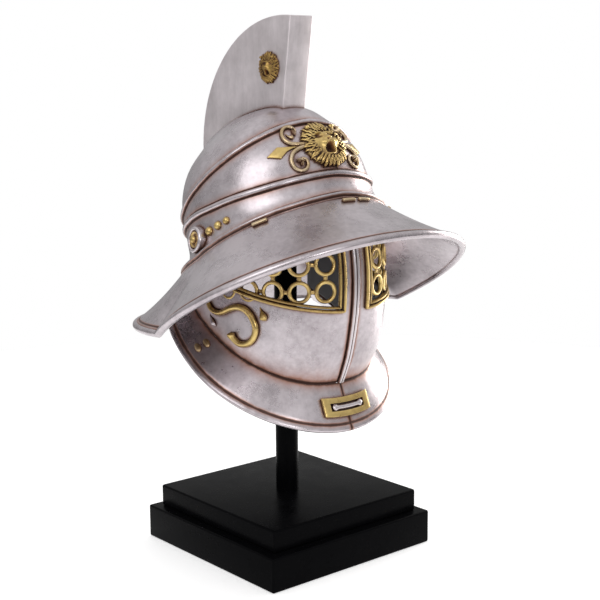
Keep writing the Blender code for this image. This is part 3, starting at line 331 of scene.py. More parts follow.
def look_up(xs, ys, at):
    """Straight-line reading of a long table."""
    if at <= xs[0]:
        return ys[0]
    if at >= xs[-1]:
        return ys[-1]
    high = bisect.bisect_right(xs, at)
    low = high - 1
    return ys[low] + (ys[high] - ys[low]) * (at - xs[low]) / (xs[high] - xs[low])


def visor_at(length, z, side):
    return visor_point(side * look_up(ARC_LENGTHS, ARC_ANGLES, length), z)


def on_visor(side):
    """The face guard's surface on one side, by the length round it and the height."""
    def surface(length, z):
        return surface_frame(lambda a, b: visor_at(a, b, side), length, z, 0.0004, 0.0004,
                             Vector((0.0, 0.0, z)))
    return surface


def throat_point(angle):
    z = THROAT_HEIGHT
    for _ in range(30):
        z = 0.5 * (z + THROAT_HEIGHT + THROAT_SLOPE * visor_point(angle, z).y)
    return visor_point(angle, z)


def flange_rim(angle):
    inner = throat_point(angle)
    turn = math.atan2(inner.x, -inner.y)
    reach = FLANGE_FRONT if inner.y < 0 else FLANGE_REAR
    radius = 1.0 / math.hypot(math.sin(turn) / FLANGE_HALF_WIDTH, math.cos(turn) / reach)
    x = radius * math.sin(turn)
    y = -radius * math.cos(turn)
    return Vector((x, y, FLANGE_HEIGHT + FLANGE_SLOPE * y + FLANGE_SIDE_LIFT * (x / FLANGE_HALF_WIDTH) ** 2))


def flange_point(angle, share):
    return throat_point(angle).lerp(flange_rim(angle), share)


def flange_frame(angle, share):
    here = flange_point(angle, share)
    along = (flange_point(angle + 0.02, share) - flange_point(angle - 0.02, share)).normalized()
    rise = (flange_point(angle, share - 0.05) - flange_point(angle, share + 0.05)).normalized()
    normal = along.cross(rise).normalized()
    return here, -normal if normal.z < 0 else normal, along, rise


def node_tree(name):
    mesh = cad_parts[name].data
    return BVHTree.FromPolygons([v.co.copy() for v in mesh.vertices],
                                [tuple(p.vertices) for p in mesh.polygons])


BRIM_TREE = node_tree("brim")
CROWN_TREE = node_tree("crown")


def visor_top(angle):
    """The face guard's upper edge, just inside the brim."""
    z = VISOR_BROW
    for _ in range(3):
        here = visor_point(angle, min(z, VISOR_BROW))
        hit = BRIM_TREE.ray_cast(Vector((here.x, here.y, 0.0)), Vector((0, 0, 1)))[0]
        z = hit.z if hit else VISOR_BROW
    return z


def window_sill(length):
    share = min(max((length - WINDOW_INNER) / (WINDOW_OUTER - WINDOW_INNER), 0.0), 1.0)
    return WINDOW_SILL + WINDOW_SILL_RISE * share ** 1.4


def window_head(length):
    return visor_top(look_up(ARC_LENGTHS, ARC_ANGLES, length)) - WINDOW_HEAD_GAP


def bend_grid(columns, rows, place, wash=None):
    """A grid of quads bent into shape; place(i, j) gives each corner and wash(i, j) its dark paint: the rust
    wash, and on the lions painted shade.
    """
    shape = bmesh.new()
    bmesh.ops.create_grid(shape, x_segments=columns, y_segments=rows, size=0.5)
    uv = shape.loops.layers.uv.verify()
    layer = shape.verts.layers.float.new("wash")
    spots = {}
    for vert in shape.verts:
        spots[vert] = (round((vert.co.x + 0.5) * columns), round((vert.co.y + 0.5) * rows))
    for face in shape.faces:
        for loop in face.loops:
            i, j = spots[loop.vert]
            loop[uv].uv = (i / columns, j / rows)
    for vert, (i, j) in spots.items():
        vert.co = place(i, j)
        if wash:
            vert[layer] = wash(i, j)
    return shape


def weld(shape, outward=True):
    bmesh.ops.remove_doubles(shape, verts=shape.verts, dist=2e-6)
    bmesh.ops.recalc_face_normals(shape, faces=shape.faces)
    if outward and shape.calc_volume(signed=True) < 0:
        bmesh.ops.reverse_faces(shape, faces=shape.faces)
    return shape


def keep(shape, name, paint_name, nodes=(), angle=40.0):
    """Makes the shape a piece of the helmet that rides on its one body."""
    mesh = bpy.data.meshes.new(name)
    shape.to_mesh(mesh)
    shape.free()
    mesh.shade_smooth()
    mesh.set_sharp_from_angle(angle=math.radians(angle))
    mesh.materials.append(coat(paint_name))
    piece = bpy.data.objects.new(name, mesh)
    bpy.context.scene.collection.objects.link(piece)
    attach(piece, "root")
    if nodes:
        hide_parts(*nodes)
    return piece


def cast(shape, node, paint_name, angle=40.0):
    """A piece that stands for one node and is named after it."""
    keep(shape, node + "_cast", paint_name, [node], angle)


def line_inside(piece, thickness):
    """Gives a sheet its wall, with the near-black coat on the inner side as painted shade."""
    piece.data.materials.append(coat("inside"))
    wall = piece.modifiers.new("wall", "SOLIDIFY")
    wall.thickness = thickness
    wall.offset = -1.0
    wall.material_offset = 1


def joined(shapes):
    """Several shapes as one, each closed and turned outward already."""
    whole = bmesh.new()
    whole.verts.layers.float.new("wash")
    whole.loops.layers.uv.verify()
    for shape in shapes:
        part = bpy.data.meshes.new("part")
        shape.to_mesh(part)
        shape.free()
        whole.from_mesh(part)
        bpy.data.meshes.remove(part)
    return whole


def tube(path, section=10, closed=False):
    """A tube along (centre, side, up, half width, half height) stations; a zero size closes an end."""
    count = len(path)
    columns = count if closed else count - 1

    def place(i, j):
        centre, side, up, wide, high = path[i % count]
        turn = 2.0 * math.pi * j / section
        return centre + side * (wide * math.cos(turn)) + up * (high * math.sin(turn))
    return weld(bend_grid(columns, section, place))


def smooth_path(points, count):
    """Evenly spread points on a Catmull-Rom curve through a few chosen ones."""
    points = [Vector(p) for p in points]
    points = [2 * points[0] - points[1]] + points + [2 * points[-1] - points[-2]]
    spans = len(points) - 3
    out = []
    for k in range(count + 1):
        s = k / count * spans
        i = min(int(s), spans - 1)
        t = s - i
        a, b, c, d = points[i:i + 4]
        out.append(0.5 * (2 * b + (c - a) * t + (2 * a - 5 * b + 4 * c - d) * t * t
                          + (3 * b - a - 3 * c + d) * t ** 3))
    return out


def laid_tube(flat, surface, wide, high, sink=0.35, section=10, closed=False):
    """A tube along flat points on a surface: wide(share) and high(share) are its half sizes."""
    stations = []
    count = len(flat)
    for k, point in enumerate(flat):
        before = flat[(k - 1) % count] if closed else flat[max(k - 1, 0)]
        after = flat[(k + 1) % count] if closed else flat[min(k + 1, count - 1)]
        share = k / (count - 1)
        here, normal = surface(point.x, point.y)
        ahead = surface(after.x, after.y)[0] - surface(before.x, before.y)[0]
        side = ahead.cross(normal).normalized()
        w, h = wide(share), high(share)
        stations.append((here + normal * (h * (1.0 - sink)), side, normal, w, h))
    return tube(stations, section, closed)


def face_away(shape, way):
    """Turns a sheet's faces to the side that way(face middle) points to."""
    bmesh.ops.recalc_face_normals(shape, faces=shape.faces)
    if sum(face.normal.dot(way(face.calc_center_median())) for face in shape.faces) < 0:
        bmesh.ops.reverse_faces(shape, faces=shape.faces)


def soften(shape, edges, offset, segments=3):
    bmesh.ops.bevel(shape, geom=edges, offset=offset, segments=segments, profile=0.5, affect="EDGES",
                    material=-1)


def box(sides, edge, segments):
    """A box round the origin with soft edges."""
    shape = bmesh.new()
    bmesh.ops.create_cube(shape, size=1.0)
    bmesh.ops.scale(shape, vec=sides, verts=shape.verts)
    soften(shape, shape.edges[:], edge, segments)
    return shape


class Nodes:
    """A small helper for building a material's nodes."""

    def __init__(self, name):
        self.material = bpy.data.materials.new(name)
        self.material.use_nodes = True
        self.tree = self.material.node_tree
        self.shader = self.tree.nodes["Principled BSDF"]

    def add(self, kind, links=None, **values):
        node = self.tree.nodes.new("ShaderNode" + kind)
        for key, value in values.items():
            setattr(node, key, value)
        for key, value in (links or {}).items():
            self.feed(node.inputs[key], value)
        return node

    def feed(self, socket, value):
        if isinstance(value, bpy.types.NodeSocket):
            self.tree.links.new(value, socket)
        elif isinstance(value, bpy.types.Node):
            self.tree.links.new(value.outputs[0], socket)
        else:
            socket.default_value = value

    def math(self, operation, a, b=0.0, clamp=False):
        return self.add("Math", {0: a, 1: b}, operation=operation, use_clamp=clamp)

    def mix(self, factor, a, b):
        node = self.add("Mix", data_type="RGBA")
        self.feed(node.inputs[0], factor)
        self.feed(node.inputs[6], a)
        self.feed(node.inputs[7], b)
        return node.outputs[2]

    def ramp(self, value, low, high, to_low=0.0, to_high=1.0):
        return self.add("MapRange", {"Value": value, "From Min": low, "From Max": high, "To Min": to_low,
                                     "To Max": to_high}, clamp=True)

    def noise(self, place, scale, detail=3.0, roughness=0.5, stretch=None):
        if stretch:
            place = self.add("Mapping", {"Vector": place, "Scale": stretch})
        return self.add("TexNoise", {"Vector": place, "Scale": scale, "Detail": detail,
                                     "Roughness": roughness}).outputs["Fac"]

    def set(self, **values):
        for key, value in values.items():
            self.feed(self.shader.inputs[key.replace("_", " ")], value)


def rgba(colour, factor=1.0):
    return (*[min(1.0, c * factor) for c in colour], 1.0)


BROAD_SCALE = 26.0
CLOUD_SCALE = 75.0
PATCH_SCALE = 190.0
STROKE_SCALE = 420.0
GRAIN_SCALE = 2600.0


def cast_metal(name, tone, shade, roughness=0.30, brush=(1.0, 1.0, 1.0), reach=0.0022, strength=1.0,
               speckle=0.5):
    """Brushed leaf over a casting, with a rust-brown wash in its hollows and where the attribute says."""
    n = Nodes(name)
    place = n.add("TexCoord").outputs["Object"]
    cloud = n.noise(place, CLOUD_SCALE, 5.0, 0.7)
    strokes = n.noise(place, STROKE_SCALE, 3.0, 0.65, brush)
    grain = n.noise(place, GRAIN_SCALE, 2.0, 0.6)
    broad = n.noise(place, BROAD_SCALE, 2.0, 0.5)
    mottle = n.math("ADD", n.math("MULTIPLY", cloud, 0.40), n.math("MULTIPLY", strokes, 0.20))
    tone_mix = n.ramp(n.math("ADD", mottle, n.math("MULTIPLY", broad, 0.40)), 0.38, 0.60)
    base = n.mix(tone_mix, rgba(shade), rgba(tone))
    hollow = n.add("AmbientOcclusion", {"Distance": reach}, samples=6, only_local=False)
    depth = n.ramp(n.math("SUBTRACT", 1.0, hollow.outputs["AO"]), 0.14, 0.52)
    # The wash attribute: the rust wash, and on the lions painted shade in the mouth, eyes and nostrils.
    painted = n.add("Attribute", attribute_name="wash").outputs["Fac"]
    patch = n.ramp(n.noise(place, PATCH_SCALE, 4.0, 0.65), 0.30, 0.70, 0.70, 1.35)
    wash = n.math("MULTIPLY", n.math("MAXIMUM", n.math("MULTIPLY", depth, strength), painted), patch,
                  clamp=True)
    thin = n.ramp(wash, 0.04, 0.50)
    thick = n.ramp(wash, 0.36, 0.85)
    colour = n.mix(n.math("MULTIPLY", thin, 0.80), base, rgba(colours().wash))
    colour = n.mix(n.math("MULTIPLY", thick, 0.95), colour, rgba(colours().wash_deep))
    n.set(Base_Color=colour)
    n.set(Metallic=n.ramp(wash, 0.1, 0.8, 0.9, 0.25))
    rough = n.math("ADD", roughness - 0.5 * 0.34, n.math("MULTIPLY", cloud, 0.34))
    n.set(Roughness=n.math("ADD", rough, n.math("MULTIPLY", wash, 0.22), clamp=True))
    relief = n.math("ADD", n.math("MULTIPLY", strokes, 0.6), n.math("MULTIPLY", grain, 0.4 * speckle))
    bump = n.add("Bump", {"Strength": 0.30, "Distance": 0.00028, "Height": relief})
    n.set(Normal=bump)
    return n.material


def painted_shade():
    """A dull near-black coat inside the helmet: painted shade for its dark inside."""
    n = Nodes("painted_shade_inside")
    place = n.add("TexCoord").outputs["Object"]
    mottle = n.noise(place, 160.0, 4.0, 0.6)
    n.set(Base_Color=n.mix(mottle, rgba(colours().inside, 0.6), rgba(colours().inside, 1.5)))
    n.set(Roughness=n.ramp(mottle, 0.3, 0.7, 0.5, 0.7))
    n.set(Normal=n.add("Bump", {"Strength": 0.3, "Distance": 0.0003, "Height": mottle}))
    return n.material


def lacquer():
    n = Nodes("black_lacquer")
    place = n.add("TexCoord").outputs["Object"]
    mottle = n.noise(place, 90.0, 4.0, 0.6)
    fine = n.noise(place, 1400.0, 2.0, 0.5)
    n.set(Base_Color=n.mix(mottle, rgba(colours().black), rgba(colours().black, 1.6)))
    n.set(Roughness=n.ramp(mottle, 0.3, 0.7, 0.24, 0.33), IOR=1.08)
    n.set(Normal=n.add("Bump", {"Strength": 0.08, "Distance": 0.0001, "Height": fine}))
    return n.material


PAINTS = {}


def coat(name):
    """The named paint's material, made when it is first asked for."""
    c = colours()
    makers = {
        "silver": lambda: cast_metal("antique_silver", c.silver, c.silver_shade, roughness=0.29),
        # Painted highlight: the brighter silver copy, with the plain silver as its darker tone.
        "highlight_silver": lambda: cast_metal("painted_highlight_silver", c.highlight_silver, c.silver),
        "brushed": lambda: cast_metal("brushed_silver", c.crest, c.crest_shade, roughness=0.50,
                                      brush=(1.0, 0.55, 0.12), speckle=0.8),
        "gold": lambda: cast_metal("antique_gold", c.gold, c.gold_shade, reach=0.0016, strength=1.2),
        "old_gold": lambda: cast_metal("old_gold", c.old_gold, c.old_gold_shade, roughness=0.36,
                                       reach=0.0016, strength=1.4),
        "deep_gold": lambda: cast_metal("deep_gold", c.gold, c.gold_shade, strength=1.7),
        "pale_gold": lambda: cast_metal("pale_gold", c.pale_gold, c.gold_shade, reach=0.0018, strength=1.3),
        # Painted shade inside the helmet.
        "inside": painted_shade,
        "black": lacquer,
    }
    if name not in PAINTS:
        PAINTS[name] = makers[name]()
    return PAINTS[name]


class HELMET_OT_stand(bpy.types.Operator):
    """The two-tier plinth and the round post"""
    bl_idname = "helmet.stand"
    bl_label = "Stand"

    def execute(self, context):
        for name, node, side, low, height in (
                ("plinth_foot", "plinth_lower", PLINTH_SIDE, 0.0, PLINTH_HEIGHT),
                ("plinth_tier", "plinth_upper", TIER_SIDE, PLINTH_HEIGHT, TIER_HEIGHT)):
            shape = box((side, side, height), 0.0009, 4)
            bmesh.ops.translate(shape, vec=(0.0, 0.0, low + 0.5 * height), verts=shape.verts)
            keep(shape, name, "black", [node])
        low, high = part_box("stand_post")
        shape = bmesh.new()
        bmesh.ops.create_cone(shape, cap_ends=True, segments=64, radius1=POST_RADIUS, radius2=POST_RADIUS,
                              depth=high.z - low.z + GAP)
        bmesh.ops.translate(shape, vec=(0.0, 0.0, 0.5 * (high.z + low.z - GAP)), verts=shape.verts)
        keep(shape, "post", "black", ["stand_post"])
        return {"FINISHED"}


def bead_height(k, angle):
    return table(BEAD_TURNS, BEAD_HEIGHTS[k], abs(angle))


def skirt_point(angle, height):
    """The crown's outside, which below its base bends outward and runs a little way down the brim."""
    if height >= SKIRT_FILLET:
        return crown_point(angle, height)
    here, normal, _, _ = brim_frame(angle, 0.1)
    slope = (brim_point(angle, 0.2) - brim_point(angle, 0.0)).normalized()
    root = brim_root(angle) + normal * SKIRT_PROUD
    if height <= -SKIRT_FILLET:
        return root - slope * height
    above, below = crown_point(angle, SKIRT_FILLET), root + slope * SKIRT_FILLET
    t = (SKIRT_FILLET - height) / (2.0 * SKIRT_FILLET)
    return above * (1 - t) ** 2 + root * 2 * t * (1 - t) + below * t * t


def skirt_frame(angle, height):
    return surface_frame(skirt_point, angle, height, 0.01, 0.0004, tilted(0.0, 0.0, -0.02))


def crown_rows():
    """Where the crown's rows lie: (bead, distance from it) or (between two beads, share)."""
    near = (-2.6, -2.1, -1.8, -1.6, -1.4, -1.25, -1.1, -0.9, -0.6, -0.3, 0.0,
            0.3, 0.6, 0.9, 1.1, 1.25, 1.4, 1.6, 1.8, 2.1, 2.6)
    rows = []
    for k in range(3):
        rows += [("bead", k, d * 0.001) for d in near]
        if k < 2:
            steps = (10, 16)[k]
            rows += [("between", k, (s + 1) / (steps + 1)) for s in range(steps)]
    steps = 26
    rows += [("top", 2, (s + 1) / steps) for s in range(steps)]
    return rows


def crown_row_height(row, angle):
    kind, k, value = row
    if kind == "bead":
        return bead_height(k, angle) + value
    low = bead_height(k, angle) + 0.0026
    if kind == "between":
        return low + (bead_height(k + 1, angle) - 0.0026 - low) * value
    return low + (CROWN_HEIGHT - low) * math.sin(0.5 * math.pi * value)


class HELMET_OT_crown(bpy.types.Operator):
    """The crown with its three cast mouldings"""
    bl_idname = "helmet.crown"
    bl_label = "Crown"

    def execute(self, context):
        size = sizes()
        rows = crown_rows()
        columns = 288

        def bead_profile(row):
            kind, k, value = row
            if kind != "bead":
                return 0.0, 0.0
            half = 0.5 * size.moulding_width * BEAD_WIDTHS[k]
            d = abs(value)
            lift = size.moulding_height * math.sqrt(max(0.0, 1.0 - (d / half) ** 2))
            groove = size.groove_depth * hill(d, half + 0.0002, 0.0003)
            stain = 1.25 * hill(d, half + 0.00020, 0.00046)
            if d > half:
                stain = max(stain, 0.55 * math.exp(-(d - half) / HALO))
            return lift - groove, stain

        profiles = [bead_profile(row) for row in rows]

        def place(i, j):
            angle = round_angle(i, columns)
            up = crown_row_height(rows[j], angle)
            lift = profiles[j][0]
            if j == 0:
                lift = -2.0 * SKIRT_PROUD
            if lift:
                here, normal = skirt_frame(angle, up)
                return here + normal * lift
            return skirt_point(angle, up)

        def wash(i, j):
            if rows[j][0] == "bead":
                return profiles[j][1]
            angle = round_angle(i, columns)
            up = crown_row_height(rows[j], angle)
            near = min(abs(up - bead_height(k, angle)) for k in range(3))
            return 0.55 * math.exp(-(near - 0.5 * size.moulding_width) / HALO)
        shape = bend_grid(columns, len(rows) - 1, place, wash)
        weld(shape, outward=False)
        face_away(shape, lambda middle: middle - tilted(0.0, 0.0, 0.0))
        piece = keep(shape, "crown_casting", "silver",
                     ["crown", "bead_lower", "bead_middle", "bead_upper"])
        line_inside(piece, CROWN_WALL)
        return {"FINISHED"}


def brim_section(span):
    """The brim's section as (reach from the root, height off its top, dark paint)."""
    size = sizes()
    roll = size.brim_edge
    top = []
    for share in (0.0, 0.05, 0.1, 0.17, 0.25, 0.33, 0.42, 0.5, 0.58, 0.66, 0.74, 0.82, 0.88):
        stain = 0.75 * math.exp(-share * span / 0.0011)
        top.append((share * (span - 0.0055), 0.0, stain))
    groove = span - 2.0 * roll - 0.0011
    for d, deep, stain in ((-0.0012, 0.0, 0.06), (-0.0007, 0.1, 0.25), (-0.00035, 0.6, 0.8), (0.0, 1.0, 1.3),
                           (0.00035, 0.6, 0.8), (0.0007, 0.1, 0.2)):
        top.append((groove + d, -deep * size.groove_depth, stain))
    edge = []
    steps = 18
    for k in range(steps + 1):
        turn = math.radians(148.0 - 296.0 * k / steps)
        stain = 0.5 if k == 0 else 0.0
        edge.append((span - roll + roll * math.cos(turn), -0.5 * BRIM_WALL + roll * math.sin(turn), stain))
    under = [(span - 2.2 * roll - 0.001, -BRIM_WALL, 0.0)]
    for share in (0.85, 0.68, 0.52, 0.38, 0.25, 0.12, 0.0):
        under.append((share * (span - 0.0055), -BRIM_WALL, 0.0))
    under += [(-BRIM_SEAT, -BRIM_WALL, 0.0), (-BRIM_SEAT, 0.0, 0.0)]
    return top + edge + under


class HELMET_OT_brim(bpy.types.Operator):
    """The flared brim with its rolled edge, engraved line and small bars"""
    bl_idname = "helmet.brim"
    bl_label = "Brim"

    def execute(self, context):
        columns = 360
        spans = []
        sections = []
        for i in range(columns):
            angle = round_angle(i, columns)
            span = (brim_point(angle, 1.0) - brim_root(angle)).length
            spans.append(span)
            sections.append(brim_section(span))
        count = len(sections[0])

        def place(i, j):
            i = i % columns
            angle = round_angle(i, columns)
            reach, off, _ = sections[i][j % count]
            share = reach / spans[i]
            here, normal, _, out = brim_frame(angle, min(max(share, 0.0), 1.0))
            if share > 0.93:
                normal = brim_frame(angle, 0.93)[1]
            if share < 0.0:
                here = here + out * reach
            return here + normal * off

        def wash(i, j):
            return sections[i % columns][j % count][2]
        shape = weld(bend_grid(columns, count, place, wash))
        keep(shape, "brim_casting", "silver", ["brim", "brim_roll"], 60.0)
        for node, angle in BARS:
            here, normal, along, _ = brim_frame(math.radians(angle), BAR_REACH)
            across = normal.cross(along).normalized()
            shape = box(BAR_SIDES, 0.0005, 3)
            bmesh.ops.translate(shape, vec=(0.0, 0.0, 0.0007), verts=shape.verts)
            turn = Matrix((along, across, normal)).transposed().to_4x4()
            bmesh.ops.transform(shape, matrix=Matrix.Translation(here) @ turn, verts=shape.verts)
            cast(shape, node, "pale_gold")
        return {"FINISHED"}


class HELMET_OT_crest(bpy.types.Operator):
    """The tall slab crest"""
    bl_idname = "helmet.crest"
    bl_label = "Crest"

    def execute(self, context):
        centre = Vector((CREST_BACK, CROWN_BASE_HEIGHT + CREST_CENTRE_HEIGHT))
        top_turn = math.acos((CREST_TOP_FRONT - centre.x) / CREST_RADIUS)
        outline = []
        for k in range(97):
            turn = CREST_TAIL + (top_turn - CREST_TAIL) * k / 96
            outline.append(centre + CREST_RADIUS * Vector((math.cos(turn), math.sin(turn))))
        top = outline[-1]
        fall = 0.0
        while fall < 0.08:
            y, z = top.x + math.tan(CREST_LEAN) * fall, top.y - fall
            if under_crown(y, z, CREST_SUNK):
                break
            fall += 0.0002
        foot = Vector((top.x + math.tan(CREST_LEAN) * fall, top.y - fall))
        tail = outline[0]
        inside = [foot]
        for k in range(1, 24):
            y = foot.x + (tail.x - foot.x) * k / 24
            z = 0.26
            while not under_crown(y, z, CREST_SUNK) and z > tail.y:
                z -= 0.0002
            inside.append(Vector((y, max(z, tail.y))))
        outline += inside
        shape = bmesh.new()
        verts = [shape.verts.new((-0.5 * CREST_THICKNESS, p.x, p.y)) for p in outline]
        face = shape.faces.new(verts)
        made = bmesh.ops.extrude_face_region(shape, geom=[face])
        moved = [item for item in made["geom"] if isinstance(item, bmesh.types.BMVert)]
        bmesh.ops.translate(shape, vec=(CREST_THICKNESS, 0.0, 0.0), verts=moved)
        weld(shape)
        rims = [e for e in shape.edges if abs(e.verts[0].co.x - e.verts[1].co.x) < 1e-6]
        corner = [e for e in shape.edges if abs(e.verts[0].co.x - e.verts[1].co.x) > 1e-6
                  and abs(e.verts[0].co.z - top.y) < 1e-5 and abs(e.verts[0].co.y - top.x) < 1e-5]
        soften(shape, rims + corner, 0.0005)
        keep(shape, "crest_slab", "brushed", ["crest"])
        return {"FINISHED"}


def under_crown(y, z, depth):
    """Whether a point on the helmet's middle line lies deeper than this inside the crown."""
    cos, sin = math.cos(HELMET_TILT), math.sin(HELMET_TILT)
    z = z - CROWN_BASE_HEIGHT
    forward = -y * cos + z * sin
    up = y * sin + z * cos
    if up > CROWN_HEIGHT - depth:
        return False
    share = max(up, 0.0) / CROWN_HEIGHT
    long = table(CROWN_UP, CROWN_LONG, share) * CROWN_LENGTH - depth
    middle = table(CROWN_UP, CROWN_FORWARD, share) * CROWN_LENGTH
    return abs(forward - middle) < long


# The ridge's section: share of its half width, height off the face guard, dark paint.
RIDGE_SECTION = ((-1.0, -0.0016, 1.1), (-1.0, -0.0001, 1.1), (-0.94, 0.0006, 0.4), (-0.82, 0.0012, 0.0),
                 (-0.6, 0.00145, 0.0), (-0.32, 0.0014, 0.05), (-0.20, 0.0006, 0.75), (-0.10, 0.0005, 0.75),
                 (0.02, 0.0013, 0.05), (0.3, 0.00145, 0.0), (0.6, 0.0014, 0.0), (0.82, 0.0012, 0.0),
                 (0.94, 0.0006, 0.2), (1.0, -0.0001, 0.8), (1.0, -0.0016, 0.8))


class HELMET_OT_face_guard(bpy.types.Operator):
    """The two halves of the face guard and the ridge between them"""
    bl_idname = "helmet.face_guard"
    bl_label = "Face guard"

    def execute(self, context):
        start = 0.5 * RIDGE_WIDTH
        lengths = [start + (WINDOW_INNER - start) * k / 6 for k in range(6)]
        lengths += [WINDOW_INNER + (WINDOW_OUTER - WINDOW_INNER) * k / 72 for k in range(72)]
        lengths += [WINDOW_OUTER + (ARC_LENGTHS[-1] - WINDOW_OUTER) * k / 14 for k in range(15)]
        lows = [throat_point(look_up(ARC_LENGTHS, ARC_ANGLES, s)).z for s in lengths]
        tops = [visor_top(look_up(ARC_LENGTHS, ARC_ANGLES, s)) + TOP_LAP for s in lengths]
        below, middle, above = 44, 16, 5
        heights = []
        for s, low, top in zip(lengths, lows, tops):
            sill = min(window_sill(s), low + 0.7 * (top - low))
            head = min(max(top - TOP_LAP - WINDOW_HEAD_GAP, sill + 0.0005), top - 0.0005)
            column = [low + (sill - low) * (k / below) ** 0.85 for k in range(below)]
            column += [sill + (head - sill) * k / middle for k in range(middle)]
            column += [head + (top - head) * k / above for k in range(above + 1)]
            heights.append(column)
        for side, word in SIDES:
            def place(i, j, side=side):
                point = visor_at(lengths[i], heights[i][j], side)
                return Vector((side * max(start, abs(point.x)), point.y, point.z))

            def wash(i, j):
                throat = heights[i][j] - lows[i]
                stain = 1.2 * hill(throat, 0.0, 0.0008) + 0.55 * math.exp(-throat / 0.0024)
                stain += 0.16 * math.exp(-throat / 0.009)
                return max(stain, 1.0 * math.exp(-(lengths[i] - start) / 0.0008))
            shape = bend_grid(len(lengths) - 1, below + middle + above, place, wash)
            gone = []
            for face in shape.faces:
                uv = [loop[shape.loops.layers.uv.verify()].uv for loop in face.loops]
                i = sum(p.x for p in uv) / 4 * (len(lengths) - 1)
                j = sum(p.y for p in uv) / 4 * (below + middle + above)
                if 6 < i < 78 and below < j < below + middle:
                    gone.append(face)
            bmesh.ops.delete(shape, geom=gone, context="FACES")
            face_away(shape, lambda middle: Vector((middle.x, middle.y, 0.0)))
            piece = keep(shape, "face_guard_" + word, "silver", ["visor_" + word])
            line_inside(piece, VISOR_WALL)
        low = throat_point(0.0).z
        high = visor_top(0.0) + TOP_LAP
        half = 0.5 * RIDGE_WIDTH
        def strip(i, j):
            z = low + (high - low) * i / 60
            across, off, _ = RIDGE_SECTION[j % len(RIDGE_SECTION)]
            return Vector((across * half * (0.66 + 0.34 * i / 60), visor_point(0.0, z).y - off, z))

        def wash(i, j):
            return RIDGE_SECTION[j % len(RIDGE_SECTION)][2]
        shape = bend_grid(60, len(RIDGE_SECTION), strip, wash)
        weld(shape, outward=False)
        bmesh.ops.holes_fill(shape, edges=[e for e in shape.edges if e.is_boundary])
        weld(shape)
        # The ridge takes the brighter silver: a painted highlight along it.
        keep(shape, "brow_ridge", "highlight_silver", ["visor_ridge"], 50.0)
        return {"FINISHED"}


def window_loop(in_side, in_sill):
    """The eye window's outline as (length, height), moved inward by two insets."""
    inner, outer = WINDOW_INNER + in_side, WINDOW_OUTER - in_side
    points = [Vector((s, window_sill(s) + in_sill))
              for s in (inner + (outer - inner) * k / 60 for k in range(61))]
    low, high = points[-1].y, window_head(outer) + 0.001
    points += [Vector((outer, low + (high - low) * k / 10)) for k in range(1, 10)]
    points += [Vector((s, window_head(s) + 0.001))
               for s in (outer + (inner - outer) * k / 40 for k in range(41))]
    low, high = points[0].y, window_head(inner) + 0.001
    points += [Vector((inner, high + (low - high) * k / 24)) for k in range(1, 24)]
    return points


class HELMET_OT_grilles(bpy.types.Operator):
    """The gold rings in the eye windows, with their frames"""
    bl_idname = "helmet.grilles"
    bl_label = "Eye grilles"

    def execute(self, context):
        size = sizes()
        for side, word in SIDES:
            surface = on_visor(side)
            shapes = []
            for row, count in enumerate(RING_COUNTS):
                for k in range(count):
                    x = RING_FIRST + k * RING_PITCH
                    z = RING_ROW + row * RING_PITCH
                    if z + 0.003 > window_head(x) + 0.004 or z + 0.0035 < window_sill(x):
                        continue
                    flat = [Vector((x + size.ring_radius * math.cos(t), z + size.ring_radius * math.sin(t)))
                            for t in (2 * math.pi * m / 36 for m in range(36))]

                    def deep(a, b, surface=surface):
                        here, normal = surface(a, b)
                        return here - normal * RING_SUNK, normal
                    shapes.append(laid_tube(flat, deep, lambda s: size.ring_wire, lambda s: size.ring_wire,
                                            0.5, 12, True))
                    for dx, dz in ((1, 0), (0, 1)):
                        mx = x + 0.5 * dx * RING_PITCH
                        mz = z + 0.5 * dz * RING_PITCH
                        if mx > WINDOW_OUTER or mz > window_head(mx) or mz < window_sill(mx):
                            continue
                        reach = 0.5 * RING_PITCH - size.ring_radius
                        nub = [Vector((mx + dx * reach * t, mz + dz * reach * t))
                               for t in (-1, -0.5, 0, 0.5, 1)]
                        shapes.append(laid_tube(nub, deep, lambda s: 0.0009 + 0.0004 * abs(2 * s - 1),
                                                lambda s: 0.0006, 0.9, 8))
            keep(joined(shapes), "eye_rings_" + word, "deep_gold", ["eye_grille_" + word])
            strands = []
            for insets, share, high, sink in (((-0.0005, 0.0005), 1.0, 0.0012, 0.5),
                                              ((0.0016, 0.0021), 0.8, 0.0011, 0.7)):
                strands.append(laid_tube(window_loop(*insets), surface, lambda s: share * size.frame_width,
                                         lambda s: high, sink, 12, True))
            keep(joined(strands), "eye_frame_" + word, "deep_gold")
        return {"FINISHED"}


# The flange's oval studs: degrees round the face guard, share of the flange's width.
FLANGE_STUDS = ((93.4, 0.53), (91.8, 0.28))
STUD_HALF_LENGTH = 0.0026
STUD_HALF_WIDTH = 0.0015


def flange_section(span):
    """The flange's section as (reach from the throat, height off its top, dark paint)."""
    size = sizes()
    line = span - 0.0034
    rows = []
    for share in (0.0, 0.025, 0.05, 0.09, 0.14, 0.22, 0.32, 0.45, 0.58, 0.7, 0.82, 0.92):
        stain = max(1.2 * hill(share * line, 0.0, 0.0006), 0.60 * math.exp(-share * line / 0.0022))
        rows.append((share * (line - 0.0008), 0.0, stain))
    for d, deep, stain in ((-0.0009, 0.0, 0.22), (-0.0004, 0.6, 0.8), (0.0, 1.0, 1.3), (0.0004, 0.6, 0.8),
                           (0.0009, 0.0, 0.24)):
        rows.append((line + d, -deep * size.groove_depth, stain))
    half = 0.5 * FLANGE_WALL
    for k in range(11):
        turn = math.radians(90.0 - 18.0 * k)
        rows.append((span - half + half * math.cos(turn), -half + half * math.sin(turn), 0.0))
    for share in (0.85, 0.6, 0.35, 0.1, 0.0):
        rows.append((share * (line - 0.0008), -FLANGE_WALL, 0.0))
    return rows


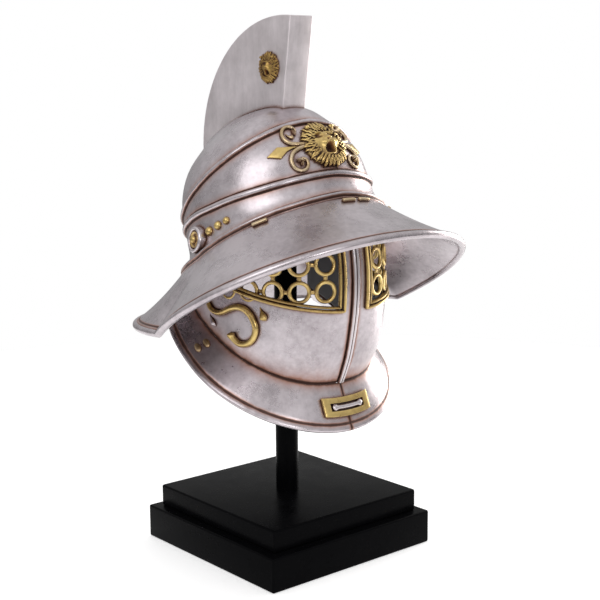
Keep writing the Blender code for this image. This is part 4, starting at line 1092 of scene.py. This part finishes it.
class HELMET_OT_flange(bpy.types.Operator):
    """The flared flange under the face, in two halves with a seam at the chin"""
    bl_idname = "helmet.flange"
    bl_label = "Flange"

    def execute(self, context):
        columns = 120
        angles = [0.0, 0.004, 0.01, 0.018]
        angles += [0.03 + (VISOR_END - 0.03) * k / (columns - 4) for k in range(columns - 3)]
        for side, word in SIDES:
            sections = []
            spans = []
            for angle in angles:
                span = (flange_rim(angle) - throat_point(angle)).length
                spans.append(span)
                sections.append(flange_section(span))
            count = len(sections[0])

            def place(i, j, side=side):
                reach, off, _ = sections[i][j % count]
                angle = max(angles[i], 0.004)
                here = flange_point(angle, reach / spans[i])
                normal = flange_frame(angle, 0.5)[1]
                point = here + normal * off
                x = 0.00012 if i == 0 else max(point.x, 0.00012)
                return Vector((side * x, point.y, point.z))

            def wash(i, j):
                seam = 1.1 * math.exp(-angles[i] * 0.045 / 0.0005)
                return max(seam, sections[i][j % count][2])
            shape = bend_grid(columns, count, place, wash)
            weld(shape, outward=False)
            bmesh.ops.holes_fill(shape, edges=[e for e in shape.edges if e.is_boundary])
            weld(shape)
            keep(shape, "flange_" + word, "silver", ["chin_flange_" + word], 60.0)
            for number, (degrees, share) in enumerate(FLANGE_STUDS, 1):
                here, normal, along, rise = flange_frame(side * math.radians(degrees), share)
                steps = 14
                stations = []
                for k in range(steps + 1):
                    t = -1.0 + 2.0 * k / steps
                    swell = math.sqrt(max(0.0, 1.0 - t * t))
                    stations.append((here + along * (STUD_HALF_LENGTH * t) + normal * 0.0002, rise, normal,
                                     STUD_HALF_WIDTH * swell, 0.0010 * swell))
                cast(tube(stations, 12), f"flange_stud_{word}_{number}", "pale_gold")
        return {"FINISHED"}


def flange_patch(across, up, off):
    drop = (throat_point(0.0) - flange_rim(0.0)).length
    share = BUCKLE_PLACE - up / drop
    low, high = 0.0, 1.0
    for _ in range(30):
        mid = 0.5 * (low + high)
        if flange_point(mid, BUCKLE_PLACE).x < abs(across):
            low = mid
        else:
            high = mid
    angle = max(0.5 * (low + high), 0.0001)
    here, normal, _, _ = flange_frame(math.copysign(angle, across), share)
    return Vector((across, here.y, here.z)) + normal * off


class HELMET_OT_buckle(bpy.types.Operator):
    """The gold chin plate with its slot and silver bar"""
    bl_idname = "helmet.buckle"
    bl_label = "Chin buckle"

    def execute(self, context):
        columns, rows = 40, 12
        slot_x, slot_y = 0.0095 / BUCKLE_WIDTH, 0.0018 / BUCKLE_HEIGHT

        def spread(k, count, inner):
            share = k / count - 0.5
            edge = 0.5 - 2.0 / count
            if abs(share) <= edge:
                return share / edge * inner
            return math.copysign(inner + (abs(share) - edge) / (0.5 - edge) * (0.5 - inner), share)

        def place(i, j):
            x = spread(i, columns, slot_x) * BUCKLE_WIDTH
            y = spread(j, rows, slot_y) * BUCKLE_HEIGHT
            return flange_patch(x, y, 0.0018)
        shape = bend_grid(columns, rows, place)
        uv = shape.loops.layers.uv.verify()
        reach_x, reach_y = 0.5 - 1.9 / columns, 0.5 - 1.9 / rows
        gone = [f for f in shape.faces
                if all(abs(l[uv].uv.x - 0.5) < reach_x and abs(l[uv].uv.y - 0.5) < reach_y for l in f.loops)]
        bmesh.ops.delete(shape, geom=gone, context="FACES")
        face_away(shape, lambda middle: Vector((0.0, -1.0, 0.0)))
        bmesh.ops.solidify(shape, geom=shape.faces[:], thickness=0.0016)
        weld(shape)
        sharp = [e for e in shape.edges if len(e.link_faces) == 2 and e.calc_face_angle(0.0) > 0.7]
        soften(shape, sharp, 0.0003, 2)
        keep(shape, "buckle_frame", "gold", ["buckle_plate"])
        stations = []
        count = 28
        for k in range(count + 1):
            t = -1.0 + 2.0 * k / count
            flare = 0.0010 + 0.0007 * ease(0.62, 0.86, abs(t)) - 0.0013 * ease(0.9, 1.0, abs(t))
            here = flange_patch(t * BUCKLE_BAR_REACH, 0.0, 0.0012)
            side = flange_patch(t * BUCKLE_BAR_REACH, 0.001, 0.0012) - here
            normal = flange_patch(t * BUCKLE_BAR_REACH, 0.0, 0.0022) - here
            stations.append((here, side.normalized(), normal.normalized(), flare,
                             0.0008 + 0.3 * (flare - 0.001)))
        # The bar takes the brighter silver: a painted highlight.
        keep(tube(stations, 12), "buckle_tongue", "highlight_silver", ["buckle_bar"])
        return {"FINISHED"}


FACE_FEATURES = (
    # across, up, half width, half height, height of the feature, in shares of the mask's half width
    (0.00, -0.07, 0.27, 0.27, 0.36), (0.00, 0.03, 0.12, 0.08, 0.20), (0.00, 0.20, 0.10, 0.17, 0.17),
    (0.17, -0.10, 0.11, 0.09, 0.16), (0.27, 0.23, 0.13, 0.07, -0.24), (0.26, 0.225, 0.055, 0.04, 0.14),
    (0.22, 0.37, 0.14, 0.05, 0.20), (0.37, 0.33, 0.10, 0.05, 0.12), (0.43, 0.00, 0.15, 0.20, 0.15),
    (0.06, -0.02, 0.03, 0.025, -0.14), (0.00, -0.53, 0.16, 0.07, 0.20), (0.20, -0.38, 0.05, 0.14, 0.08),
    (0.10, 0.52, 0.09, 0.12, 0.08))
MOUTH_UP = -0.29
MOUTH_WIDE = 0.17
MOUTH_TALL = 0.165


# The mane's rings of locks: number, inner and outer reach, half width, height, turn and lift.
MANE = ((36, 0.70, 1.00, 0.056, 0.060, 0.0, 0.00), (32, 0.61, 0.88, 0.056, 0.060, 0.5, 0.03),
        (28, 0.54, 0.77, 0.054, 0.056, 0.2, 0.05), (24, 0.47, 0.66, 0.050, 0.050, 0.6, 0.05))


def lion_face(x, y):
    """Height of the lion's head in shares of its relief, at (across, up) in shares of its half width."""
    height = 0.50 * max(0.0, 1.0 - x * x - 0.9 * y * y) ** 0.5
    for across, up, wide, tall, rise in FACE_FEATURES:
        height += rise * hill(abs(x), across, wide) * hill(y, up, tall)
    return max(height - 0.80 * mouth(x, y), 0.03)


def mouth(x, y):
    wide = MOUTH_WIDE * (1.0 - 0.25 * (y - MOUTH_UP) / MOUTH_TALL)
    return ease(1.25, 0.65, math.hypot(x / wide, (y - MOUTH_UP) / MOUTH_TALL))


def lion_painted_shade(x, y):
    """Painted shade in the lion's open mouth, eye hollows and nostrils."""
    eye = 1.1 * hill(abs(x), 0.28, 0.10) * hill(y, 0.255, 0.04)
    return max(1.4 * mouth(x, y), eye, 0.9 * hill(abs(x), 0.06, 0.03) * hill(y, -0.02, 0.025))


def lion_lock(surface, start, end, width, height, curl):
    """One lock of the mane: a tongue that swells, curls and ends in a point."""
    ahead = end - start
    across = Vector((-ahead.y, ahead.x))
    flat = [start + ahead * t + across * (curl * math.sin(2.6 * t) * t) for t in (k / 10 for k in range(11))]

    def wide(s):
        return width * (0.5 + 1.1 * s - 1.6 * s ** 3) * ease(0.0, 0.15, s + 0.05) * ease(1.0, 0.8, s) + 1e-7

    def high(s):
        return height * (1.0 - 0.5 * s * s) * ease(0.0, 0.15, s + 0.05) * ease(1.0, 0.8, s) + 1e-7
    return laid_tube(flat, surface, wide, high, 0.35, 8)


def lion_mask(surface, radius, rise, tall):
    """A lion's head, mouth open, in a mane of locks, on a surface given by (across, up)."""
    shapes = []
    steps = 120

    def spot(i, j):
        u, v = 2.0 * i / steps - 1.0, 2.0 * j / steps - 1.0
        return (0.94 * u * math.sqrt(1.0 - 0.5 * v * v), 0.94 * v * math.sqrt(1.0 - 0.5 * u * u),
                max(abs(u), abs(v)))

    def place(i, j):
        x, y, edge = spot(i, j)
        here, normal = surface(x * radius, y * radius * tall)
        return here + normal * (rise * (lion_face(x, y) * ease(1.0, 0.93, edge) - 0.03))

    # The wash attribute here is painted shade in the mouth, eyes and nostrils.
    def wash(i, j):
        return lion_painted_shade(*spot(i, j)[:2])
    face = bend_grid(steps, steps, place, wash)
    out = surface(0.0, 0.0)[1]
    face_away(face, lambda middle: out)
    shapes.append(face)
    middle = Vector((0.0, -0.02))
    for level, (count, inner, outer, width, height, shift, lift) in enumerate(MANE):
        def raised(x, y, lift=lift):
            here, normal = surface(x, y)
            share = (x * x + 0.9 * (y / tall) ** 2) / radius ** 2
            return here + normal * rise * (0.44 * max(0.0, 1.0 - share) ** 0.5 + lift), normal
        for k in range(count):
            turn = 2.0 * math.pi * (k + shift) / count
            low = ease(-0.55, -0.95, math.sin(turn))
            if level > 1 and low > 0.5:
                continue
            ray = Vector((math.cos(turn), math.sin(turn)))
            reach = outer * (1.0 + 0.045 * math.sin(4.1 * k + level)) + 0.04 * low
            start = (middle + ray * inner * (0.92 if low else 1.0)) * radius
            end = ray * reach * radius
            start.y *= tall
            end.y *= tall
            curl = 0.34 * (1 if math.cos(turn) > 0 else -1) * (1.0 - low) * (1 if (k + level) % 3 else -0.8)
            thick = radius * (1.0 + 0.6 * low)
            shapes.append(lion_lock(raised, start, end, width * thick, height * thick, curl))
    for side in (-1, 1):
        flat = [Vector((side * radius * (0.50 + 0.02 * k), radius * tall * (0.56 + 0.028 * k)))
                for k in range(7)]

        def ear(x, y):
            here, normal = surface(x, y)
            return here + normal * rise * 0.42, normal

        def swell(s):
            return radius * 0.10 * math.sin(math.pi * (0.1 + 0.9 * s)) + 1e-7
        shapes.append(laid_tube(flat, ear, swell, swell, 0.3, 10))
    return joined(shapes)


class HELMET_OT_lions(bpy.types.Operator):
    """The lion masks on the brow and on the crest"""
    bl_idname = "helmet.lions"
    bl_label = "Lion masks"

    def execute(self, context):
        size = sizes()

        def brow(x, y):
            return crown_frame(x / CROWN_LENGTH, LION_HEIGHT + y)
        shape = lion_mask(brow, size.lion_radius, LION_RELIEF, LION_TALL)
        keep(shape, "brow_lion", "deep_gold", ["lion_boss"], 60.0)
        for side, word in SIDES:
            def flank(x, y, side=side):
                return (Vector((side * 0.5 * CREST_THICKNESS, CREST_LION_BACK + x, CREST_LION_HEIGHT + y)),
                        Vector((side, 0.0, 0.0)))
            shape = lion_mask(flank, size.crest_lion_radius, CREST_LION_RELIEF, CREST_LION_TALL)
            cast(shape, "crest_lion_" + word, "old_gold", 60.0)
        return {"FINISHED"}


# Points of the brow scrolls and leaves: degrees round the crown, millimetres above its base.
UPPER_SCROLL = ((13.4, 24.7), (15.2, 24.9), (18.5, 25.3), (22.2, 26.4), (24.6, 28.7), (25.0, 31.7),
                (23.0, 34.3), (19.7, 35.2), (16.9, 34.6), (15.6, 33.0), (16.2, 31.6), (17.6, 31.4))
SCROLL_SPREAD = 0.97
UPPER_TIP = ((22.0, 31.6), (21.3, 30.2), (20.0, 29.3), (18.6, 29.2))
LOWER_SCROLL = ((14.0, 23.5), (15.5, 23.4), (18.9, 22.9), (22.5, 21.5), (24.8, 19.0), (25.0, 16.5),
                (23.5, 14.1), (20.7, 12.9), (17.7, 13.2), (15.6, 14.9), (15.5, 16.9), (17.0, 18.1),
                (19.2, 17.9), (20.2, 16.6))
LOWER_BALL = ((18.6, 16.0), (19.1, 16.0), (19.6, 16.0), (20.1, 16.0))
LEAF = ((38.7, 22.6), (30.9, 26.0), (26.7, 25.3), (21.3, 24.6), (13.5, 24.6), (13.5, 23.8), (21.6, 23.8),
        (25.7, 23.0), (30.7, 20.4))


class HELMET_OT_scrolls(bpy.types.Operator):
    """The scrolls and flat leaves beside the brow lion"""
    bl_idname = "helmet.scrolls"
    bl_label = "Brow scrolls"

    def execute(self, context):
        size = sizes()
        wire = size.scroll_wire
        for side, word in SIDES:
            def flat(points, count):
                return smooth_path([(side * math.radians(a) * SCROLL_SPREAD, z * 0.001, 0.0)
                                    for a, z in points], count)

            def main(s):
                ends = ease(0.0, 0.04, s + 0.01) * ease(1.0, 0.985, s)
                return wire * (0.9 - 0.25 * s + 1.1 * hill(s, 0.97, 0.035)) * ends + 1e-7

            def thin(s):
                return wire * 0.6 * (0.4 + s) * ease(1.0, 0.95, s) + 1e-7
            upper = laid_tube(flat(UPPER_SCROLL, 90), crown_frame, main, main, 0.3, 10)
            tip = laid_tube(flat(UPPER_TIP, 24), crown_frame, thin, thin, 0.3, 8)
            keep(joined([upper, tip]), "upper_scroll_" + word, "pale_gold", ["scroll_upper_" + word])
            lower = laid_tube(flat(LOWER_SCROLL, 100), crown_frame, main, main, 0.3, 10)
            ball = laid_tube(flat(LOWER_BALL, 8), crown_frame,
                             lambda s: wire * 1.15 * math.sin(math.pi * s) + 1e-7,
                             lambda s: wire * 1.5 * math.sin(math.pi * s) + 1e-7, 0.2, 10)
            keep(joined([lower, ball]), "lower_scroll_" + word, "pale_gold", ["scroll_lower_" + word])
            shape = bmesh.new()
            verts = []
            for a, z in LEAF:
                here, normal = crown_frame(side * math.radians(a) * SCROLL_SPREAD, z * 0.001)
                verts.append(shape.verts.new(here + normal * 0.0008))
            face = shape.faces.new(verts)
            face.normal_update()
            if face.normal.dot(crown_frame(side * 0.45, 0.023)[1]) < 0:
                face.normal_flip()
            bmesh.ops.triangulate(shape, faces=[face])
            bmesh.ops.subdivide_edges(shape, edges=shape.edges[:], cuts=3, use_grid_fill=True)
            for vert in shape.verts:
                near = CROWN_TREE.find_nearest(vert.co)
                vert.co = near[0] + near[1] * 0.0010
            bmesh.ops.solidify(shape, geom=shape.faces[:], thickness=0.0012)
            weld(shape)
            rims = [e for e in shape.edges if len(e.link_faces) == 2 and e.calc_face_angle(0.0) > 0.8]
            soften(shape, rims, 0.00018, 2)
            cast(shape, "leaf_" + word, "gold", 30.0)
        return {"FINISHED"}


def turned(profile, here, normal, segments):
    """Spins a (radius, height) profile about a surface's normal."""
    shape = bmesh.new()
    verts = [shape.verts.new((r, 0.0, h)) for r, h in profile]
    edges = [shape.edges.new(pair) for pair in zip(verts, verts[1:])]
    bmesh.ops.spin(shape, geom=verts + edges, cent=(0, 0, 0), axis=(0, 0, 1), angle=2 * math.pi,
                   steps=segments, use_merge=True)
    bmesh.ops.remove_doubles(shape, verts=shape.verts, dist=1e-6)
    turn = Vector((0, 0, 1)).rotation_difference(normal).to_matrix().to_4x4()
    bmesh.ops.transform(shape, matrix=Matrix.Translation(here) @ turn, verts=shape.verts)
    return weld(shape)


# A rosette's dish as (share of its radius, height).
DISH = ((0.0, 0.0018), (1.0, 0.0018), (1.0, 0.0027), (0.88, 0.0032), (0.72, 0.0029), (0.58, 0.0023),
        (0.46, 0.0026), (0.42, 0.0034), (0.32, 0.0041), (0.16, 0.0045), (0.0, 0.0046))
ROSETTE_TURN = 95.0
ROSETTE_HEIGHT = 0.0036
STUD_HEIGHT = 0.0039
TEMPLE_STUDS = ((84.8, 1.0), (77.3, 0.93), (70.8, 0.82))


class HELMET_OT_rosettes(bpy.types.Operator):
    """The temple rosettes and the studs in front of them"""
    bl_idname = "helmet.rosettes"
    bl_label = "Rosettes and studs"

    def execute(self, context):
        size = sizes()
        r = size.rosette_radius
        for side, word in SIDES:
            here, normal = skirt_frame(side * math.radians(ROSETTE_TURN), ROSETTE_HEIGHT)
            ring = [(0.0, 0.0), (r, 0.0)]
            ring += [(0.84 * r + 0.16 * r * math.cos(t), 0.0024 + 0.0011 * math.sin(t))
                     for t in (math.pi * k / 12 for k in range(13))]
            ring += [(0.66 * r, 0.0013), (0.0, 0.0013)]
            # The ring takes the brighter silver: a painted highlight.
            cast(turned(ring, here, normal, 48), "rosette_ring_" + word, "highlight_silver")
            q = 0.66 * r
            dish = [(share * q, height) for share, height in DISH]
            cast(turned(dish, here, normal, 40), "rosette_dish_" + word, "gold")
            for number, (degrees, share) in enumerate(TEMPLE_STUDS, 1):
                here, normal = skirt_frame(side * math.radians(degrees), STUD_HEIGHT)
                radius = size.stud_radius * share
                dome = [(0.0, -0.0003)] + [(radius * math.cos(t), 0.95 * radius * math.sin(t))
                                           for t in (0.5 * math.pi * k / 8 for k in range(8))]
                dome += [(0.0, 0.95 * radius)]
                cast(turned(dome, here, normal, 24), f"stud_{word}_{number}", "gold")
        return {"FINISHED"}


# Points of the cheek scrolls and drops: lengths round the face guard and heights over the throat line,
# in shares of the guard's half width. A drop is its top, its foot, its fatness and its paint.
S_SCROLL = ((1.490, 0.110), (1.483, 0.070), (1.435, 0.030), (1.367, -0.001), (1.285, 0.003), (1.208, 0.040),
            (1.164, 0.112), (1.156, 0.191), (1.187, 0.272), (1.243, 0.345), (1.326, 0.394), (1.428, 0.400),
            (1.538, 0.366), (1.640, 0.320), (1.749, 0.300), (1.857, 0.325), (1.914, 0.384), (1.920, 0.434),
            (1.877, 0.481), (1.809, 0.499))
# The silver drop takes the brighter silver: a painted highlight.
DROPS = (("gold_drop", (1.124, 0.425), (1.040, 0.275), 1.1, "gold"),
         ("silver_drop", (1.920, 0.263), (1.796, 0.133), 0.7, "highlight_silver"))


class HELMET_OT_cheek_scrolls(bpy.types.Operator):
    """The large gold S-scrolls and teardrops on the cheeks"""
    bl_idname = "helmet.cheek_scrolls"
    bl_label = "Cheek scrolls"

    def execute(self, context):
        size = sizes()
        half = VISOR_HALF_WIDTH
        wire = size.s_scroll_wire
        for side, word in SIDES:
            surface = on_visor(side)
            flat = smooth_path([(a * half, THROAT_HEIGHT + b * half, 0.0) for a, b in S_SCROLL], 120)

            def wide(s):
                bulb = 1.0 + 0.38 * hill(s, 0.03, 0.035) + 0.25 * hill(s, 0.975, 0.02)
                bulb -= 0.28 * ease(0.55, 0.95, s)
                return wire * bulb * math.sqrt(ease(-0.012, 0.03, s)) * math.sqrt(ease(1.01, 0.975, s)) + 1e-7
            shape = laid_tube(flat, surface, wide, wide, 0.3, 14)
            cast(shape, "s_scroll_" + word, "gold")
            for name, top, foot, fat, paint_name in DROPS:
                flat = smooth_path([((top[0] + (foot[0] - top[0]) * t) * half,
                                     THROAT_HEIGHT + (top[1] + (foot[1] - top[1]) * t) * half, 0.0)
                                    for t in (0.0, 0.5, 1.0)], 20)

                def swell(s, fat=fat):
                    body = 0.14 + 0.86 * ease(0.0, 0.72, s) ** 1.3
                    body *= math.sqrt(max(0.0, 1 - ease(0.74, 1.0, s)))
                    return 0.0015 * fat * body * ease(0.0, 0.05, s + 0.005) + 1e-7
                cast(laid_tube(flat, surface, swell, swell, 0.3, 12), name + "_" + word, paint_name)
        return {"FINISHED"}


FLOOR_RADIUS = 0.50
FLOOR_GLOW = 0.35
SKY = (("From Min", -0.2), ("From Max", 0.9), ("To Min", 0.30), ("To Max", 0.95))
CAMERA_PLACE = Vector((-0.36208, -0.43893, 0.21474))
CAMERA_BACK = Vector((-0.63621, -0.75279, 0.16894))
CAMERA_RIGHT = Vector((0.7638, -0.6455, 0.0))
CAMERA_ROLL = math.radians(-0.438)
CAMERA_LENS = 73.81


def area_light(name, place, target, size, watts, colour=(1.0, 1.0, 1.0)):
    lamp = bpy.data.lights.new(name, "AREA")
    lamp.shape = "RECTANGLE"
    lamp.size, lamp.size_y = size
    lamp.energy = watts
    lamp.color = colour
    light = bpy.data.objects.new(name, lamp)
    light.location = place
    light.rotation_euler = (Vector(target) - Vector(place)).to_track_quat("-Z", "Y").to_euler()
    bpy.context.scene.collection.objects.link(light)


class HELMET_OT_studio(bpy.types.Operator):
    """The pale floor, soft lights and camera"""
    bl_idname = "helmet.studio"
    bl_label = "Studio"

    def execute(self, context):
        shape = bmesh.new()
        bmesh.ops.create_circle(shape, cap_ends=True, segments=96, radius=FLOOR_RADIUS)
        mesh = bpy.data.meshes.new("floor")
        shape.to_mesh(mesh)
        shape.free()
        n = Nodes("studio_floor")
        place = n.add("TexCoord").outputs["Object"]
        soft = n.noise(place, 3.0, 2.0)
        shade = n.mix(soft, rgba(colours().floor), rgba(colours().floor, 1.02))
        n.set(Base_Color=shade, Emission_Color=shade, Roughness=0.6, Emission_Strength=FLOOR_GLOW)
        mesh.materials.append(n.material)
        floor = bpy.data.objects.new("floor", mesh)
        context.scene.collection.objects.link(floor)
        world = bpy.data.worlds.new("studio")
        world.use_nodes = True
        context.scene.world = world
        tree = world.node_tree
        background = tree.nodes["Background"]
        geometry = tree.nodes.new("ShaderNodeTexCoord")
        split = tree.nodes.new("ShaderNodeSeparateXYZ")
        tree.links.new(geometry.outputs["Generated"], split.inputs[0])
        ramp = tree.nodes.new("ShaderNodeMapRange")
        for name, value in SKY:
            ramp.inputs[name].default_value = value
        tree.links.new(split.outputs["Z"], ramp.inputs["Value"])
        light_path = tree.nodes.new("ShaderNodeLightPath")
        seen = tree.nodes.new("ShaderNodeMix")
        tree.links.new(light_path.outputs["Is Camera Ray"], seen.inputs[0])
        tree.links.new(ramp.outputs[0], seen.inputs[2])
        seen.inputs[3].default_value = 1.0
        tree.links.new(seen.outputs[0], background.inputs["Strength"])
        background.inputs["Color"].default_value = (1.0, 1.0, 1.0, 1.0)
        context.scene.view_settings.view_transform = "Standard"
        middle = (0.0, 0.0, 0.14)
        area_light("key", (-0.80, -0.35, 0.75), middle, (0.7, 0.7), 3.2)
        area_light("front", (-0.25, -1.1, 0.35), middle, (0.25, 0.25), 1.6)
        area_light("right", (0.9, 0.02, 0.14), middle, (0.35, 0.8), 8.0, (1.0, 0.96, 0.92))
        up = CAMERA_BACK.cross(CAMERA_RIGHT)
        cos, sin = math.cos(CAMERA_ROLL), math.sin(CAMERA_ROLL)
        right = CAMERA_RIGHT * cos + up * sin
        above = up * cos - CAMERA_RIGHT * sin
        lens = bpy.data.cameras.new("camera")
        lens.lens = CAMERA_LENS
        lens.sensor_width = 36.0
        lens.clip_start = 0.01
        camera = bpy.data.objects.new("camera", lens)
        turn = Matrix((right, above, CAMERA_BACK)).transposed().to_4x4()
        camera.matrix_world = Matrix.Translation(CAMERA_PLACE) @ turn
        context.scene.collection.objects.link(camera)
        context.scene.camera = camera
        return {"FINISHED"}


class HELMET_PT_panel(bpy.types.Panel):
    bl_label = "Helmet"
    bl_idname = "HELMET_PT_panel"
    bl_space_type = "VIEW_3D"
    bl_region_type = "UI"
    bl_category = "Helmet"

    def draw(self, context):
        for group in (context.scene.helmet_sizes, context.scene.helmet_colours):
            for key in group.__annotations__:
                self.layout.prop(group, key)
        for operator in OPERATORS:
            self.layout.operator(operator.bl_idname)


OPERATORS = (HELMET_OT_stand, HELMET_OT_crown, HELMET_OT_brim, HELMET_OT_crest, HELMET_OT_face_guard,
             HELMET_OT_grilles, HELMET_OT_flange, HELMET_OT_buckle, HELMET_OT_lions, HELMET_OT_scrolls,
             HELMET_OT_rosettes, HELMET_OT_cheek_scrolls, HELMET_OT_studio)
CLASSES = (HelmetSizes, HelmetColours, *OPERATORS, HELMET_PT_panel)


def register():
    for item in CLASSES:
        bpy.utils.register_class(item)
    bpy.types.Scene.helmet_sizes = PointerProperty(type=HelmetSizes)
    bpy.types.Scene.helmet_colours = PointerProperty(type=HelmetColours)


def unregister():
    del bpy.types.Scene.helmet_colours
    del bpy.types.Scene.helmet_sizes
    for item in reversed(CLASSES):
        bpy.utils.unregister_class(item)


def main():
    register()
    for operator in OPERATORS:
        getattr(bpy.ops.helmet, operator.bl_idname.split(".")[1])()
    bpy.context.view_layer.update()


if __name__ == "__main__":
    main()
